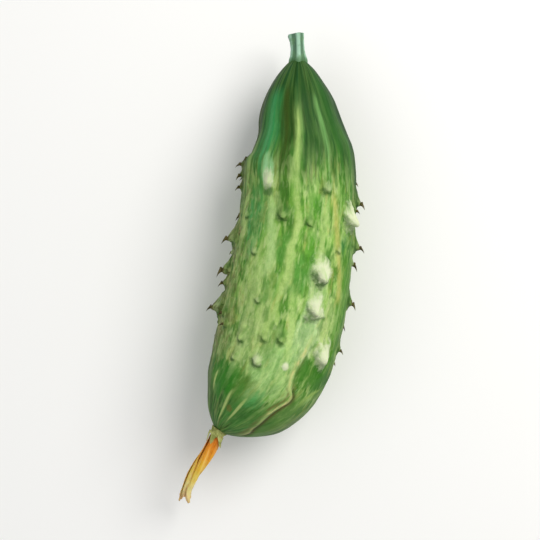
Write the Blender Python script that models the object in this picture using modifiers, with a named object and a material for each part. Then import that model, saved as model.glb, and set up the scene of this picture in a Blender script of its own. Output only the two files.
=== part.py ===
"""A northern pickling cucumber as picked: a warty, slightly bent fruit lying on its side, with a stub of its stalk and
the withered flower still on its blossom end.

The frame is in metres with +Z up. The origin is the middle of the small flat spot that the fruit rests on. +Y runs
towards the stalk, and +X is the outer side of the bend. Sizes below are in millimetres and degrees.
"""

import math

import bmesh
import bpy
from mathutils import Euler, Matrix, Vector

MM = 0.001

# The fruit. Each station is the middle of a cross-section as seen from above (x, y) and its radius there,
# from the stalk's seat to the flower's seat.
FRUIT_STATIONS = (
    (2.0, 55.7, 2.2),
    (2.0, 53.2, 4.6),
    (1.9, 49.5, 7.1),
    (1.9, 45.5, 9.2),
    (2.1, 41.0, 10.7),
    (2.5, 36.5, 12.1),
    (2.5, 32.0, 13.9),
    (2.1, 27.5, 15.0),
    (2.0, 20.5, 15.3),
    (1.4, 12.0, 15.6),
    (0.2, 2.5, 16.0),
    (-1.5, -8.0, 16.4),
    (-3.3, -16.5, 16.3),
    (-5.3, -23.5, 16.0),
    (-7.5, -28.6, 15.2),
    (-9.9, -32.0, 14.1),
    (-12.6, -35.0, 12.4),
    (-15.1, -37.9, 9.3),
    (-17.2, -40.2, 6.3),
    (-18.3, -41.5, 4.0),
    (-18.9, -42.4, 2.1),
)
AXIS_HEIGHT = 15.45  # of the fruit's axis over the surface, at the origin
AXIS_RISE = 0.9  # how far the axis rises from the origin to the flower's seat, and drops towards the stalk
SECTIONS_A_STATION = 3
SECTION_QUARTER_SIDES = 9  # beyond the first on each quarter of a cross-section

# Warts: the place as a share of the fruit's length from the stalk, the angle round the fruit from straight up towards
# the outer side of the bend, and the size. The neck, the last fifth and the strip it rests on have none.
WARTS_SEEN_FROM_ABOVE = (
    (0.247, -76, 0.65),
    (0.268, -88, 0.80),
    (0.298, -85, 0.75),
    (0.306, -30, 1.15),
    (0.330, 29, 0.95),
    (0.333, -88, 0.75),
    (0.347, 84, 1.05),
    (0.387, 71, 1.30),
    (0.404, -13, 0.95),
    (0.408, -57, 0.70),
    (0.420, 12, 0.75),
    (0.454, 86, 1.05),
    (0.466, -85, 1.35),
    (0.478, 47, 0.70),
    (0.505, -38, 0.80),
    (0.537, 31, 1.35),
    (0.555, -84, 1.15),
    (0.590, 86, 0.85),
    (0.592, -71, 0.80),
    (0.622, 30, 1.20),
    (0.630, -25, 0.65),
    (0.658, -87, 1.40),
    (0.680, -68, 0.75),
    (0.705, 82, 0.75),
    (0.710, -56, 0.75),
    (0.713, 7, 0.75),
    (0.719, -11, 0.75),
    (0.726, 52, 1.15),
    (0.738, -34, 0.95),
    (0.774, 15, 0.75),
    (0.782, -12, 0.90),
    (0.790, -52, 0.65),
)
WART_ROWS_BELOW = (  # an angle, and the places along it
    (106, (0.295, 0.405, 0.495, 0.560, 0.645, 0.735)),
    (128, (0.255, 0.340, 0.435, 0.525, 0.610, 0.690, 0.775)),
    (-106, (0.300, 0.385, 0.505, 0.605, 0.715, 0.785)),
    (-128, (0.260, 0.345, 0.430, 0.550, 0.650, 0.745)),
)
WART_SPREAD_BELOW = 0.25  # how much those differ in size, either way
WART_FOOT_RADIUS = 1.9
WART_TIP_RADIUS = 0.45
WART_HEIGHT = 1.15  # over the skin
WART_SUNK = 0.45  # under the skin, so that the two join
WART_SIDES = 8

# The stalk's stub, five-angled, cut square
STALK_LENGTH = 7.0
STALK_RADII = (2.3, 1.95, 1.85, 1.95, 2.2)  # from the fruit to the cut
STALK_LEAN = 0.7  # how far its cut end leans to the outer side
STALK_RIBS = 5
STALK_RIB_HEIGHT = 0.10  # as a share of the radius
STALK_OUTLINE_SIDES = 30

# The withered flower: a collar, five sepals on its rim, and five petals rolled and twisted round each other
COLLAR_PROFILE = ((2.0, 0.0), (1.75, 0.6), (1.9, 1.2), (2.65, 1.8))  # radius, and distance from the fruit
PETAL_PATH = ((-20.2, -45.0, 0.1), (-22.0, -48.4, -0.2), (-24.2, -51.9, -1.0), (-26.3, -55.3, -2.4),
              (-27.9, -59.0, -4.2), (-28.7, -63.0, -6.3))  # x, y, and height over the flower's seat
PETAL_SPREADS = (0.82, 0.98, 0.95, 0.8, 0.88, 1.05)  # scales the petals' cross-section along the path
PETAL_INNER_RADIUS = 1.0
PETAL_OUTER_RADIUS = 1.85
PETAL_WIDTH_ANGLE = 50.0
PETAL_TWIST = 130.0
PETAL_ENDS = (1.0, 0.93, 0.97, 0.88, 0.95)  # where each petal's tip ends, as a share of the path
PETAL_SECTIONS = 16
PETAL_ARC_SIDES = 3
PETALS = 5
SEPAL_LENGTH = 4.4
SEPAL_FOOT_RADIUS = 0.42
SEPAL_TIP_RADIUS = 0.12
SEPAL_RING_RADIUS = 2.2
SEPAL_FLARE = 1.5  # how far a sepal's tip stands out beyond its foot

SEAT_GAP = 0.3  # between two pieces that meet


def clear_scene():
    for thing in list(bpy.data.objects):
        bpy.data.objects.remove(thing)


def new_collection(name):
    made = bpy.data.collections.new(name)
    bpy.context.scene.collection.children.link(made)
    return made


def new_material(name, colour, roughness):
    made = bpy.data.materials.new(name)
    made.use_nodes = True
    shader = made.node_tree.nodes["Principled BSDF"]
    shader.inputs["Base Color"].default_value = (*colour, 1.0)
    shader.inputs["Roughness"].default_value = roughness
    shader.inputs["Metallic"].default_value = 0.0
    return made


def through(rows, place):
    """A smooth curve through rows of numbers, read at place, which counts rows and may be a fraction."""
    last = len(rows) - 1
    i = min(int(place), last - 1)
    t = place - i
    before, here, there, after = (rows[min(max(k, 0), last)] for k in (i - 1, i, i + 1, i + 2))
    return tuple(
        b + 0.5 * t * (c - a + t * (2 * a - 5 * b + 4 * c - d + t * (3 * (b - c) + d - a)))
        for a, b, c, d in zip(before, here, there, after)
    )


def axis_height(y):
    """Height of the fruit's axis at this y: it rises a little towards the flower, so the belly lies flat."""
    return AXIS_HEIGHT + AXIS_RISE * y / FRUIT_STATIONS[-1][1]


def fruit_line():
    """The fruit's axis as (point, radius) pairs in millimetres."""
    line = []
    steps = SECTIONS_A_STATION * (len(FRUIT_STATIONS) - 1)
    for step in range(steps + 1):
        x, y, radius = through(FRUIT_STATIONS, step / SECTIONS_A_STATION)
        line.append((Vector((x, y, axis_height(y))), radius))
    return line


def along(line, share):
    """(point, direction, radius, the radius's growth per millimetre) at this share of the line's length."""
    lengths = [(b[0] - a[0]).length for a, b in zip(line, line[1:])]
    left = share * sum(lengths)
    for (start, r0), (end, r1), length in zip(line, line[1:], lengths):
        if left <= length:
            break
        left -= length
    part = min(left / length, 1.0)
    return start.lerp(end, part), (end - start).normalized(), r0 + (r1 - r0) * part, (r1 - r0) / length


def skin_place(line, share, angle):
    """A point of the skin and its outward normal. The angle is from straight up, towards the outer side."""
    centre, forward, radius, growth = along(line, share)
    side = Vector((0, 0, 1)).cross(forward).normalized()
    up = forward.cross(side)
    out = up * math.cos(math.radians(angle)) + side * math.sin(math.radians(angle))
    return centre + out * radius, (out - forward * growth).normalized()


def seat_frame(line, share):
    """The matrix of a frame at an end of the fruit, with +Z pointing away from it."""
    point, forward, _, _ = along(line, share)
    away = forward if share > 0.5 else -forward
    return Matrix.Translation(point * MM) @ away.to_track_quat("Z", "Y").to_matrix().to_4x4()


def new_curve(name, points, radii, collection, tilts=None):
    """A poly curve through points in millimetres, with a radius and a tilt at each."""
    data = bpy.data.curves.new(name, "CURVE")
    data.dimensions = "3D"
    spline = data.splines.new("POLY")
    spline.points.add(len(points) - 1)
    for i, (point, radius) in enumerate(zip(points, radii)):
        spline.points[i].co = (*(Vector(point) * MM), 1.0)
        spline.points[i].radius = radius
        spline.points[i].tilt = tilts[i] if tilts else 0.0
    data.use_fill_caps = True
    made = bpy.data.objects.new(name, data)
    collection.objects.link(made)
    return made


def new_outline(name, points, collection):
    """A closed flat curve that a bevel sweeps, in metres. It isn't a part of the object."""
    data = bpy.data.curves.new(name, "CURVE")
    data.dimensions = "2D"
    data.fill_mode = "NONE"
    spline = data.splines.new("POLY")
    spline.points.add(len(points) - 1)
    for target, (x, y) in zip(spline.points, points):
        target.co = (x * MM, y * MM, 0.0, 1.0)
    spline.use_cyclic_u = True
    made = bpy.data.objects.new(name, data)
    made.hide_render = True
    made.display_type = "WIRE"
    collection.objects.link(made)
    return made


def as_mesh(curve, collection, merge=0.02):
    """A mesh in place of a curve, with its loose caps welded on."""
    name = curve.name
    graph = bpy.context.evaluated_depsgraph_get()
    data = bpy.data.meshes.new_from_object(curve.evaluated_get(graph))
    place = curve.matrix_world.copy()
    bpy.data.objects.remove(curve)
    shape = bmesh.new()
    shape.from_mesh(data)
    bmesh.ops.remove_doubles(shape, verts=shape.verts, dist=merge * MM)
    bmesh.ops.recalc_face_normals(shape, faces=shape.faces)
    shape.to_mesh(data)
    shape.free()
    data.name = name
    made = bpy.data.objects.new(name, data)
    made.matrix_world = place
    collection.objects.link(made)
    return made


def finish(thing, material):
    """Gives a piece its material and smooth shading."""
    thing.data.materials.clear()
    thing.data.materials.append(material)
    if thing.type == "MESH":
        thing.data.shade_smooth()
        thing.data.set_sharp_from_angle(angle=math.radians(50))


def add_boolean(thing, name, other, operation):
    modifier = thing.modifiers.new(name, "BOOLEAN")
    modifier.operation = operation
    modifier.object = other
    return modifier


def all_warts():
    """Every wart as (share, angle, size). The sizes of those below wander with their number."""
    warts = list(WARTS_SEEN_FROM_ABOVE)
    for angle, shares in WART_ROWS_BELOW:
        for share in shares:
            warts.append((share, angle, 1.0 + WART_SPREAD_BELOW * math.sin(2.4 * len(warts))))
    return warts


def make_warts(line, cutters):
    """All the warts as blunt cones with their feet under the skin, in one mesh that the fruit takes in."""
    shape = bmesh.new()
    for share, angle, size in all_warts():
        point, normal = skin_place(line, share, angle)
        depth = (WART_HEIGHT * size + WART_SUNK) * MM
        middle = point * MM + normal * (depth / 2 - WART_SUNK * MM)
        turn = normal.to_track_quat("Z", "Y").to_matrix().to_4x4()
        bmesh.ops.create_cone(
            shape,
            cap_ends=True,
            segments=WART_SIDES,
            radius1=WART_FOOT_RADIUS * size * MM,
            radius2=WART_TIP_RADIUS * size * MM,
            depth=depth,
            matrix=Matrix.Translation(middle) @ turn,
        )
    data = bpy.data.meshes.new("wart_cones")
    shape.to_mesh(data)
    shape.free()
    made = bpy.data.objects.new("wart_cones", data)
    made.hide_render = True
    made.display_type = "WIRE"
    cutters.objects.link(made)
    return made


def make_surface_block(cutters):
    """The block under the surface, which cuts the small flat spot that the fruit rests on."""
    width, length, depth = 60 * MM, 160 * MM, 10 * MM
    bpy.ops.mesh.primitive_cube_add(size=1.0, location=(0, 0, -depth / 2))
    made = bpy.context.object
    made.name = "surface_block"
    made.scale = (width, length, depth)
    made.hide_render = True
    made.display_type = "WIRE"
    for owner in list(made.users_collection):
        owner.objects.unlink(made)
    cutters.objects.link(made)
    return made


def make_fruit(line, parts, cutters, material):
    """One solid: the swept body, with its warts joined on and its belly cut flat where it rests."""
    curve = new_curve("fruit", [p for p, _ in line], [r for _, r in line], parts)
    curve.data.bevel_depth = MM
    curve.data.bevel_resolution = SECTION_QUARTER_SIDES
    fruit = as_mesh(curve, parts)
    add_boolean(fruit, "Warts", make_warts(line, cutters), "UNION")
    add_boolean(fruit, "Flat spot", make_surface_block(cutters), "DIFFERENCE")
    finish(fruit, material)


def ribbed_ring(radius, ribs, height, sides):
    """Points of a ring whose radius swells at each rib."""
    turns = [2 * math.pi * i / sides for i in range(sides)]
    swells = [radius * (1 + height * math.cos(ribs * turn)) for turn in turns]
    return [(swell * math.cos(turn), swell * math.sin(turn)) for swell, turn in zip(swells, turns)]


def make_stalk(line, parts, cutters, material):
    """The stub of stalk: five-angled, flared at both ends, leaning a little, and cut square."""
    outline = new_outline("stalk_outline", ribbed_ring(1.0, STALK_RIBS, STALK_RIB_HEIGHT, STALK_OUTLINE_SIDES), cutters)
    last = len(STALK_RADII) - 1
    steps = 2 * last
    points, radii = [], []
    for step in range(steps + 1):
        share = step / steps
        (radius,) = through([(r,) for r in STALK_RADII], step / 2)
        points.append((STALK_LEAN * share**2, 0.0, SEAT_GAP + STALK_LENGTH * share))
        radii.append(radius)
    stalk = new_curve("stalk", points, radii, parts)
    stalk.data.bevel_mode = "OBJECT"
    stalk.data.bevel_object = outline
    stalk.matrix_world = seat_frame(line, 0.0)
    finish(as_mesh(stalk, parts), material)


def make_collar(line, parts, material):
    """The dried foot of the flower on the fruit's end: a turned collar, flared outwards, solid to its axis."""
    height = COLLAR_PROFILE[-1][1]
    corners = [(0.0, height), *reversed(COLLAR_PROFILE), (0.0, 0.0)]
    data = bpy.data.meshes.new("flower_collar")
    data.from_pydata([(r * MM, 0, (z + SEAT_GAP) * MM) for r, z in corners],
                     [(i, i + 1) for i in range(len(corners) - 1)], [])
    collar = bpy.data.objects.new("flower_collar", data)
    parts.objects.link(collar)
    screw = collar.modifiers.new("Turn", "SCREW")
    screw.steps = 24
    screw.render_steps = 24
    screw.use_merge_vertices = True
    screw.merge_threshold = 0.00002
    collar.matrix_world = seat_frame(line, 1.0)
    finish(collar, material)


def petal_outline():
    """A petal's cross-section: a stretch of a thick ring."""
    half = math.radians(PETAL_WIDTH_ANGLE) / 2
    turns = [half * (2 * i / PETAL_ARC_SIDES - 1) for i in range(PETAL_ARC_SIDES + 1)]
    outer = [(PETAL_OUTER_RADIUS * math.cos(t), PETAL_OUTER_RADIUS * math.sin(t)) for t in turns]
    inner = [(PETAL_INNER_RADIUS * math.cos(t), PETAL_INNER_RADIUS * math.sin(t)) for t in reversed(turns)]
    return outer + inner


def make_petals(seat_height, parts, cutters, material):
    """Five petals twisted round one curved line, a narrow gap apart, each with its tip at its own length."""
    outline = new_outline("petal_outline", petal_outline(), cutters)
    path = [(x, y, z + seat_height) for x, y, z in PETAL_PATH]
    spreads = [(s,) for s in PETAL_SPREADS]
    last = len(PETAL_PATH) - 1
    for number in range(PETALS):
        places = [PETAL_ENDS[number] * i / (PETAL_SECTIONS - 1) for i in range(PETAL_SECTIONS)]
        start = math.radians(360 * number / PETALS)
        petal = new_curve(
            f"petal_{number + 1}",
            [through(path, last * place) for place in places],
            [through(spreads, last * place)[0] for place in places],
            parts,
            [start + math.radians(PETAL_TWIST) * place for place in places],
        )
        petal.data.bevel_mode = "OBJECT"
        petal.data.bevel_object = outline
        finish(as_mesh(petal, parts), material)


def make_sepals(line, parts, material):
    """Five awl-shaped sepals on the collar's rim, each flaring outwards."""
    steps = 6
    foot = COLLAR_PROFILE[-1][1] + 2 * SEAT_GAP
    for number in range(PETALS):
        shares = [i / steps for i in range(steps + 1)]
        sepal = new_curve(
            f"sepal_{number + 1}",
            [(SEPAL_RING_RADIUS + SEPAL_FLARE * t**1.5, 0.0, foot + SEPAL_LENGTH * t) for t in shares],
            [SEPAL_FOOT_RADIUS + (SEPAL_TIP_RADIUS - SEPAL_FOOT_RADIUS) * t for t in shares],
            parts,
        )
        sepal.data.bevel_depth = MM
        sepal.data.bevel_resolution = 1
        turn = Euler((0, 0, math.radians(360 * (number + 0.5) / PETALS))).to_matrix().to_4x4()
        sepal.matrix_world = seat_frame(line, 1.0) @ turn
        finish(as_mesh(sepal, parts), material)


def main():
    clear_scene()
    parts = new_collection("pickling_cucumber")
    cutters = new_collection("cutters_and_outlines")
    line = fruit_line()
    skin = new_material("fruit_skin", (0.22, 0.37, 0.10), 0.38)
    green = new_material("stalk_green", (0.21, 0.40, 0.24), 0.55)
    olive = new_material("dried_calyx", (0.25, 0.27, 0.09), 0.7)
    orange = new_material("withered_petal", (0.47, 0.26, 0.04), 0.6)
    make_fruit(line, parts, cutters, skin)
    make_stalk(line, parts, cutters, green)
    make_collar(line, parts, olive)
    make_sepals(line, parts, olive)
    make_petals(line[-1][0].z, parts, cutters, orange)


main()
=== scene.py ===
# %% [markdown]
# # A pickling cucumber, from its frame to its finish
#
# The frame holds the plain solids: a warty fruit, a stub of stalk, and a withered flower made of a
# collar, five sepals and five petals. This lesson gives each of them its real surface. It starts by
# loading the frame.

# %% Load the frame
import math
from collections import namedtuple

import bmesh
import bpy
from mathutils import Matrix, Vector


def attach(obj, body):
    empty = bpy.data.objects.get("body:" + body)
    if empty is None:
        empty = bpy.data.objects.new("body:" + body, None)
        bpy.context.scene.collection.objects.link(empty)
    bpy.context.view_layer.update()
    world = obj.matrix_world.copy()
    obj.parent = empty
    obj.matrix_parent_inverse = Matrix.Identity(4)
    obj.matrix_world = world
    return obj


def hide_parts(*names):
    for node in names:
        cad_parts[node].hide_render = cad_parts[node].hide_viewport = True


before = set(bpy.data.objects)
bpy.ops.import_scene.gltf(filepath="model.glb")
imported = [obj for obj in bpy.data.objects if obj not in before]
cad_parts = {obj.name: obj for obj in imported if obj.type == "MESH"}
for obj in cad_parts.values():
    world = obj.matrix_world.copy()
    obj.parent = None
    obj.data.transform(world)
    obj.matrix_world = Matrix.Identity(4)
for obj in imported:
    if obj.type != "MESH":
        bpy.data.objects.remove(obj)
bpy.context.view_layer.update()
print("solids:", ", ".join(sorted(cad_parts)))

MM = 0.001

# %% [markdown]
# Every tree below, for shapes and for materials, is built from a few kinds of node. Adding nodes by hand
# takes three lines each, so it's worth having helpers that read like a formula. One adds any node to the
# tree in hand: a value that comes from another node is linked, and a plain number is typed into the
# socket. What a node gives out can then be added, multiplied and so on with the usual signs, and each
# sign adds the node that does the sum.

# %% Nodes and what they give out
def usable(sockets, key):
    """The socket with this name or number; of several with one name, the one in use."""
    if isinstance(key, int):
        return sockets[key]
    return next(s for s in sockets if s.name == key and s.enabled)


class InHand:
    """The tree that is being built."""

    tree = None


class Output:
    """What a node gives out. The usual signs work on it."""

    def __init__(self, socket):
        self.socket = socket

    def __neg__(self):
        return self * -1.0

    def __abs__(self):
        return calc("ABSOLUTE", self)


class Added:
    """A node that has been added. Its outputs are read by name or number."""

    def __init__(self, node):
        self.node = node

    def __getitem__(self, key):
        return Output(usable(self.node.outputs, key))


def feed(node, inputs):
    """Links a node's sockets to what other nodes give out, or types plain values into them."""
    for key, value in inputs.items():
        if isinstance(value, Output):
            InHand.tree.links.new(value.socket, usable(node.inputs, key))
        elif value is not None:
            usable(node.inputs, key).default_value = value


def add(kind, inputs=None, **settings):
    """A new node with its properties set and its sockets fed."""
    made = InHand.tree.nodes.new(kind)
    for name, value in settings.items():
        setattr(made, name, value)
    feed(made, inputs or {})
    return Added(made)


# %% Sums on numbers and vectors
def calc(operation, a, b=None, c=None):
    """A sum on plain numbers."""
    return add("ShaderNodeMath", {0: a, 1: b, 2: c}, operation=operation)[0]


def vector_calc(operation, a, b=None, scale=None):
    """A sum on vectors. A dot product comes out as a plain number."""
    made = add("ShaderNodeVectorMath", {0: a, 1: b, "Scale": scale}, operation=operation)
    return made["Value" if operation == "DOT_PRODUCT" else "Vector"]


def combined(operation, a, b):
    """A sum on two values: two numbers, two vectors, or a vector times a number."""
    if isinstance(a, Output) and a.socket.type == "VECTOR":
        return vector_calc("SCALE", a, scale=b) if operation == "MULTIPLY" else vector_calc(operation, a, b)
    return calc(operation, a, b)


SIGNS = {"add": "ADD", "sub": "SUBTRACT", "mul": "MULTIPLY", "truediv": "DIVIDE", "pow": "POWER"}
for sign, operation in SIGNS.items():
    setattr(Output, f"__{sign}__", lambda a, b, operation=operation: combined(operation, a, b))
    setattr(Output, f"__r{sign}__", lambda b, a, operation=operation: combined(operation, a, b))


# %% Helpers that shape a value
def span(value, start, end, low=0.0, high=1.0, smooth=True):
    """Turns the stretch from start to end into low to high, and holds both ends."""
    sockets = {"Value": value, "From Min": start, "From Max": end, "To Min": low, "To Max": high}
    kind = "SMOOTHSTEP" if smooth else "LINEAR"
    return add("ShaderNodeMapRange", sockets, interpolation_type=kind, clamp=True)["Result"]


def bell(value, middle, width):
    """A bump that is 1 at the middle and nearly 0 two widths away."""
    off = (value - middle) / width
    return calc("EXPONENT", -(off * off))


def noise(place, scale, detail=2.0, roughness=0.5):
    """Soft random values around 0.5, the same at each run."""
    sockets = {"Vector": place, "Scale": scale, "Detail": detail, "Roughness": roughness}
    return add("ShaderNodeTexNoise", sockets, noise_dimensions="3D")[0]


def curve_through(value, points):
    """A smooth curve through (value, result) points, both from 0 to 1."""
    made = add("ShaderNodeFloatCurve", {"Value": value})
    line = made.node.mapping.curves[0]
    for number, (x, y) in enumerate(points):
        if number < 2:
            line.points[number].location = (x, y)
        else:
            line.points.new(x, y)
    made.node.mapping.update()
    return made["Value"]


def position():
    """Where each point is."""
    return add("GeometryNodeInputPosition")[0]


def parts(vector):
    """A vector taken apart into X, Y and Z."""
    return add("ShaderNodeSeparateXYZ", {0: vector})


def vector_of(x=None, y=None, z=None):
    """A vector put together from its parts. One that's left out is 0."""
    return add("ShaderNodeCombineXYZ", {"X": x, "Y": y, "Z": z})[0]


# %% [markdown]
# A Geometry Nodes tree is a recipe. Its named inputs are the sizes, and the same recipe then serves
# several pieces. The tree reads a plain line of points that carries its own half-width, so the shape
# follows the line. At the end the recipe is taken off and only its mesh stays, since a finished piece
# should be a plain mesh at the origin.

# %% How a recipe starts and ends
KINDS = {
    float: "NodeSocketFloat",
    int: "NodeSocketInt",
    bpy.types.Object: "NodeSocketObject",
    bpy.types.Material: "NodeSocketMaterial",
}


def new_recipe(name, sizes):
    """An empty tree with geometry in and out, and one named input for each size, which are what it
    returns."""
    InHand.tree = bpy.data.node_groups.new(name, "GeometryNodeTree")
    sockets = InHand.tree.interface
    sockets.new_socket("Geometry", in_out="INPUT", socket_type="NodeSocketGeometry")
    sockets.new_socket("Geometry", in_out="OUTPUT", socket_type="NodeSocketGeometry")
    for label, value in sizes.items():
        kind = value if isinstance(value, type) else type(value)
        socket = sockets.new_socket(label, in_out="INPUT", socket_type=KINDS[kind])
        if kind in (float, int):
            socket.default_value = value
    return add("NodeGroupInput")


def end_recipe(geometry, material):
    """Ends the tree in hand, with instances made real, smooth shading and the material."""
    real = add("GeometryNodeRealizeInstances", {"Geometry": geometry})[0]
    smooth = add("GeometryNodeSetShadeSmooth", {"Geometry": real})[0]
    dressed = add("GeometryNodeSetMaterial", {"Geometry": smooth, "Material": material})[0]
    add("NodeGroupOutput", {"Geometry": dressed})
    print(f"{InHand.tree.name}: {len(InHand.tree.nodes)} nodes")
    return InHand.tree


def attribute(name, kind="FLOAT"):
    """A value that the points carry under a name."""
    return add("GeometryNodeInputNamedAttribute", {"Name": name}, data_type=kind)["Attribute"]


def keep(geometry, name, value, kind="FLOAT"):
    """Stores a value on every point under a name, for a material to read."""
    sockets = {"Geometry": geometry, "Name": name, "Value": value}
    return add("GeometryNodeStoreNamedAttribute", sockets, data_type=kind, domain="POINT")[0]


# %% Helper objects that a recipe reads
def new_object(name, data):
    """A new object in the scene, at the origin."""
    made = bpy.data.objects.new(name, data)
    bpy.context.scene.collection.objects.link(made)
    return made


def points_object(name, points, edges=(), **values):
    """A helper object of bare points in metres, with a number or a vector on each."""
    mesh = bpy.data.meshes.new(name)
    mesh.from_pydata([tuple(p) for p in points], list(edges), [])
    for label, numbers in values.items():
        if isinstance(numbers[0], (int, float)):
            mesh.attributes.new(label, "FLOAT", "POINT").data.foreach_set("value", list(numbers))
        else:
            flat = [c for vector in numbers for c in vector]
            mesh.attributes.new(label, "FLOAT_VECTOR", "POINT").data.foreach_set("vector", flat)
    return new_object(name, mesh)


def directions_along(points, reach=1):
    """Which way a line of points runs at each of them, taken over as many points before and after as
    reach says."""
    points = [Vector(p) for p in points]
    before = [points[max(i - reach, 0)] for i in range(len(points))]
    after = points[reach:] + points[-1:] * reach
    return [(there - here).normalized() for here, there in zip(before, after)]


def line_object(name, points, half_widths, directions=None, **values):
    """A helper line of points in millimetres that carries its half-width and the way it runs, and other
    values if they're given."""
    edges = [(i, i + 1) for i in range(len(points) - 1)]
    scaled = [Vector(p) * MM for p in points]
    widths = [w * MM for w in half_widths]
    ways = directions or directions_along(points)
    return points_object(name, scaled, edges, half_width=widths, forward=ways, **values)


# %% From a recipe to a finished piece
def evaluated_mesh(thing):
    """What an object's modifiers make of it, as a plain mesh."""
    graph = bpy.context.evaluated_depsgraph_get()
    shown = thing.evaluated_get(graph)
    return bpy.data.meshes.new_from_object(shown, preserve_all_data_layers=True, depsgraph=graph)


def bake_recipe(tree, carrier, name, values):
    """Runs a recipe on a carrier and returns the result as a plain mesh object."""
    modifier = carrier.modifiers.new("Recipe", "NODES")
    modifier.node_group = tree
    for item in tree.interface.items_tree:
        if item.in_out == "INPUT" and item.name in values:
            modifier[item.identifier] = values[item.name]
    mesh = evaluated_mesh(carrier)
    carrier.modifiers.remove(modifier)
    mesh.name = name
    return new_object(name, mesh)


def check_mesh(thing):
    """Turns the faces outwards if they aren't, and prints what the mesh has."""
    shape = bmesh.new()
    shape.from_mesh(thing.data)
    bmesh.ops.recalc_face_normals(shape, faces=shape.faces)
    if shape.calc_volume(signed=True) < 0:
        bmesh.ops.reverse_faces(shape, faces=shape.faces)
    shape.to_mesh(thing.data)
    open_edges = sum(len(edge.link_faces) != 2 for edge in shape.edges)
    triangles = sum(len(face.verts) - 2 for face in shape.faces)
    volume = shape.calc_volume() * 1e9
    shape.free()
    print(f"{thing.name}: {triangles} triangles, {open_edges} open edges, {volume:.1f} cubic mm")


def hand_over(piece, slot, *nodes):
    """Says which solids a finished piece stands for, and that it rides with them."""
    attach(piece, "root")
    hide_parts(*nodes)
    print(f"{piece.name} stands for {', '.join(nodes)}")


# %% [markdown]
# The fruit hangs from its stalk while it grows, so its weight pulls it long, and a shady or a sunny side
# makes it bend. Its middle line runs straight through the neck and then curls towards the flower. These
# are the same stations that the solid was swept through, so the finished skin lies where the solid is.
#
# The line carries two more things for the skin. One is the way it runs, taken over a long stretch, so that
# the rows of points turn evenly in the bend and don't crowd on its inner side. The other is how much
# further the outer side runs than the middle, which keeps the patterns evenly spaced on both sides.

# %% The fruit's stations
FRUIT_STATIONS = (  # x, y and radius in millimetres, from the stalk's seat to the flower's seat
    (2.0, 55.7, 2.2),
    (2.0, 53.2, 4.6),
    (1.9, 49.5, 7.1),
    (1.9, 45.5, 9.2),
    (2.1, 41.0, 10.7),
    (2.5, 36.5, 12.1),
    (2.5, 32.0, 13.9),
    (2.1, 27.5, 15.0),
    (2.0, 20.5, 15.3),
    (1.4, 12.0, 15.6),
    (0.2, 2.5, 16.0),
    (-1.5, -8.0, 16.4),
    (-3.3, -16.5, 16.3),
    (-5.3, -23.5, 16.0),
    (-7.5, -28.6, 15.2),
    (-9.9, -32.0, 14.1),
    (-12.6, -35.0, 12.4),
    (-15.1, -37.9, 9.3),
    (-17.2, -40.2, 6.3),
    (-18.3, -41.5, 4.0),
    (-18.9, -42.4, 2.1),
)
AXIS_HEIGHT = 15.45  # millimetres above the floor, where y is 0
AXIS_RISE = 0.9  # how much higher the line is at the flower's seat
STEPS_A_STATION = 10  # how many steps the line takes from one station to the next
GENTLY = 20  # how many steps before and after a point count for the way the skin runs there


# %% The fruit's middle line
def through(rows, place):
    """A smooth curve through rows of numbers, read at place, which counts rows and may be a fraction."""
    last = len(rows) - 1
    i = min(int(place), last - 1)
    t = place - i
    before, here, there, after = (rows[min(max(k, 0), last)] for k in (i - 1, i, i + 1, i + 2))
    return tuple(
        b + 0.5 * t * (c - a + t * (2 * a - 5 * b + 4 * c - d + t * (3 * (b - c) + d - a)))
        for a, b, c, d in zip(before, here, there, after)
    )


def fruit_middle():
    """The middle line as points, and the half-width at each, in millimetres."""
    steps = STEPS_A_STATION * (len(FRUIT_STATIONS) - 1)
    stations = [through(FRUIT_STATIONS, step / STEPS_A_STATION) for step in range(steps + 1)]
    points = [Vector((x, y, AXIS_HEIGHT + AXIS_RISE * y / FRUIT_STATIONS[-1][1])) for x, y, _ in stations]
    return points, [radius for _, _, radius in stations]


def stretch_along(directions, widths, length):
    """How much further than the middle line the outer side runs, up to each point, as a share of the
    length."""
    gained = [0.0]
    for before, here, width in zip(directions, directions[1:], widths[1:]):
        gained.append(gained[-1] + here.angle(before) * width / length)
    return gained


axis_points, axis_widths = fruit_middle()
axis_directions = directions_along(axis_points, GENTLY)
fruit_length = sum((b - a).length for a, b in zip(axis_points, axis_points[1:]))
axis_stretch = stretch_along(axis_directions, axis_widths, fruit_length)
fruit_line = line_object("fruit_line", axis_points, axis_widths, axis_directions, stretch=axis_stretch)
print(f"the fruit is {fruit_length:.1f} mm long and {2 * max(axis_widths):.1f} mm thick")

# %% [markdown]
# A place on the skin is easiest to name the way a grower would point at it: how far along from the stalk,
# and how far round from the top. Both the warts and the spines on them use this, so it's worked out once
# in plain Python.

# %% Places on the skin
def on_skin(share, angle):
    """The point, the outward direction and the direction to the flower, at a share of the length and an
    angle from straight up towards the outer side of the bend, in degrees."""
    left = share * fruit_length
    steps = zip(axis_points, axis_points[1:], axis_widths, axis_widths[1:], axis_directions)
    for here, there, radius, next_radius, forward in steps:
        length = (there - here).length
        if left <= length:
            break
        left -= length
    part = min(left / length, 1.0)
    side = Vector((0, 0, 1)).cross(forward).normalized()
    out = forward.cross(side) * math.cos(math.radians(angle)) + side * math.sin(math.radians(angle))
    point = here.lerp(there, part) + out * (radius + (next_radius - radius) * part)
    return point * MM, (out - forward * (next_radius - radius) / length).normalized(), forward


# %% [markdown]
# Each wart is a swelling of the skin with a spine on top. They stand in loose rows, thickest along the
# middle, with none on the neck or round the flower. Those seen from above are placed one by one as on the
# real fruit; the rest follow in rows. Two more numbers say how far a wart has turned from green to cream,
# and how big its spine is; below 0.6 the spine has broken off and only the shade of the mound is left.

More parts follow.
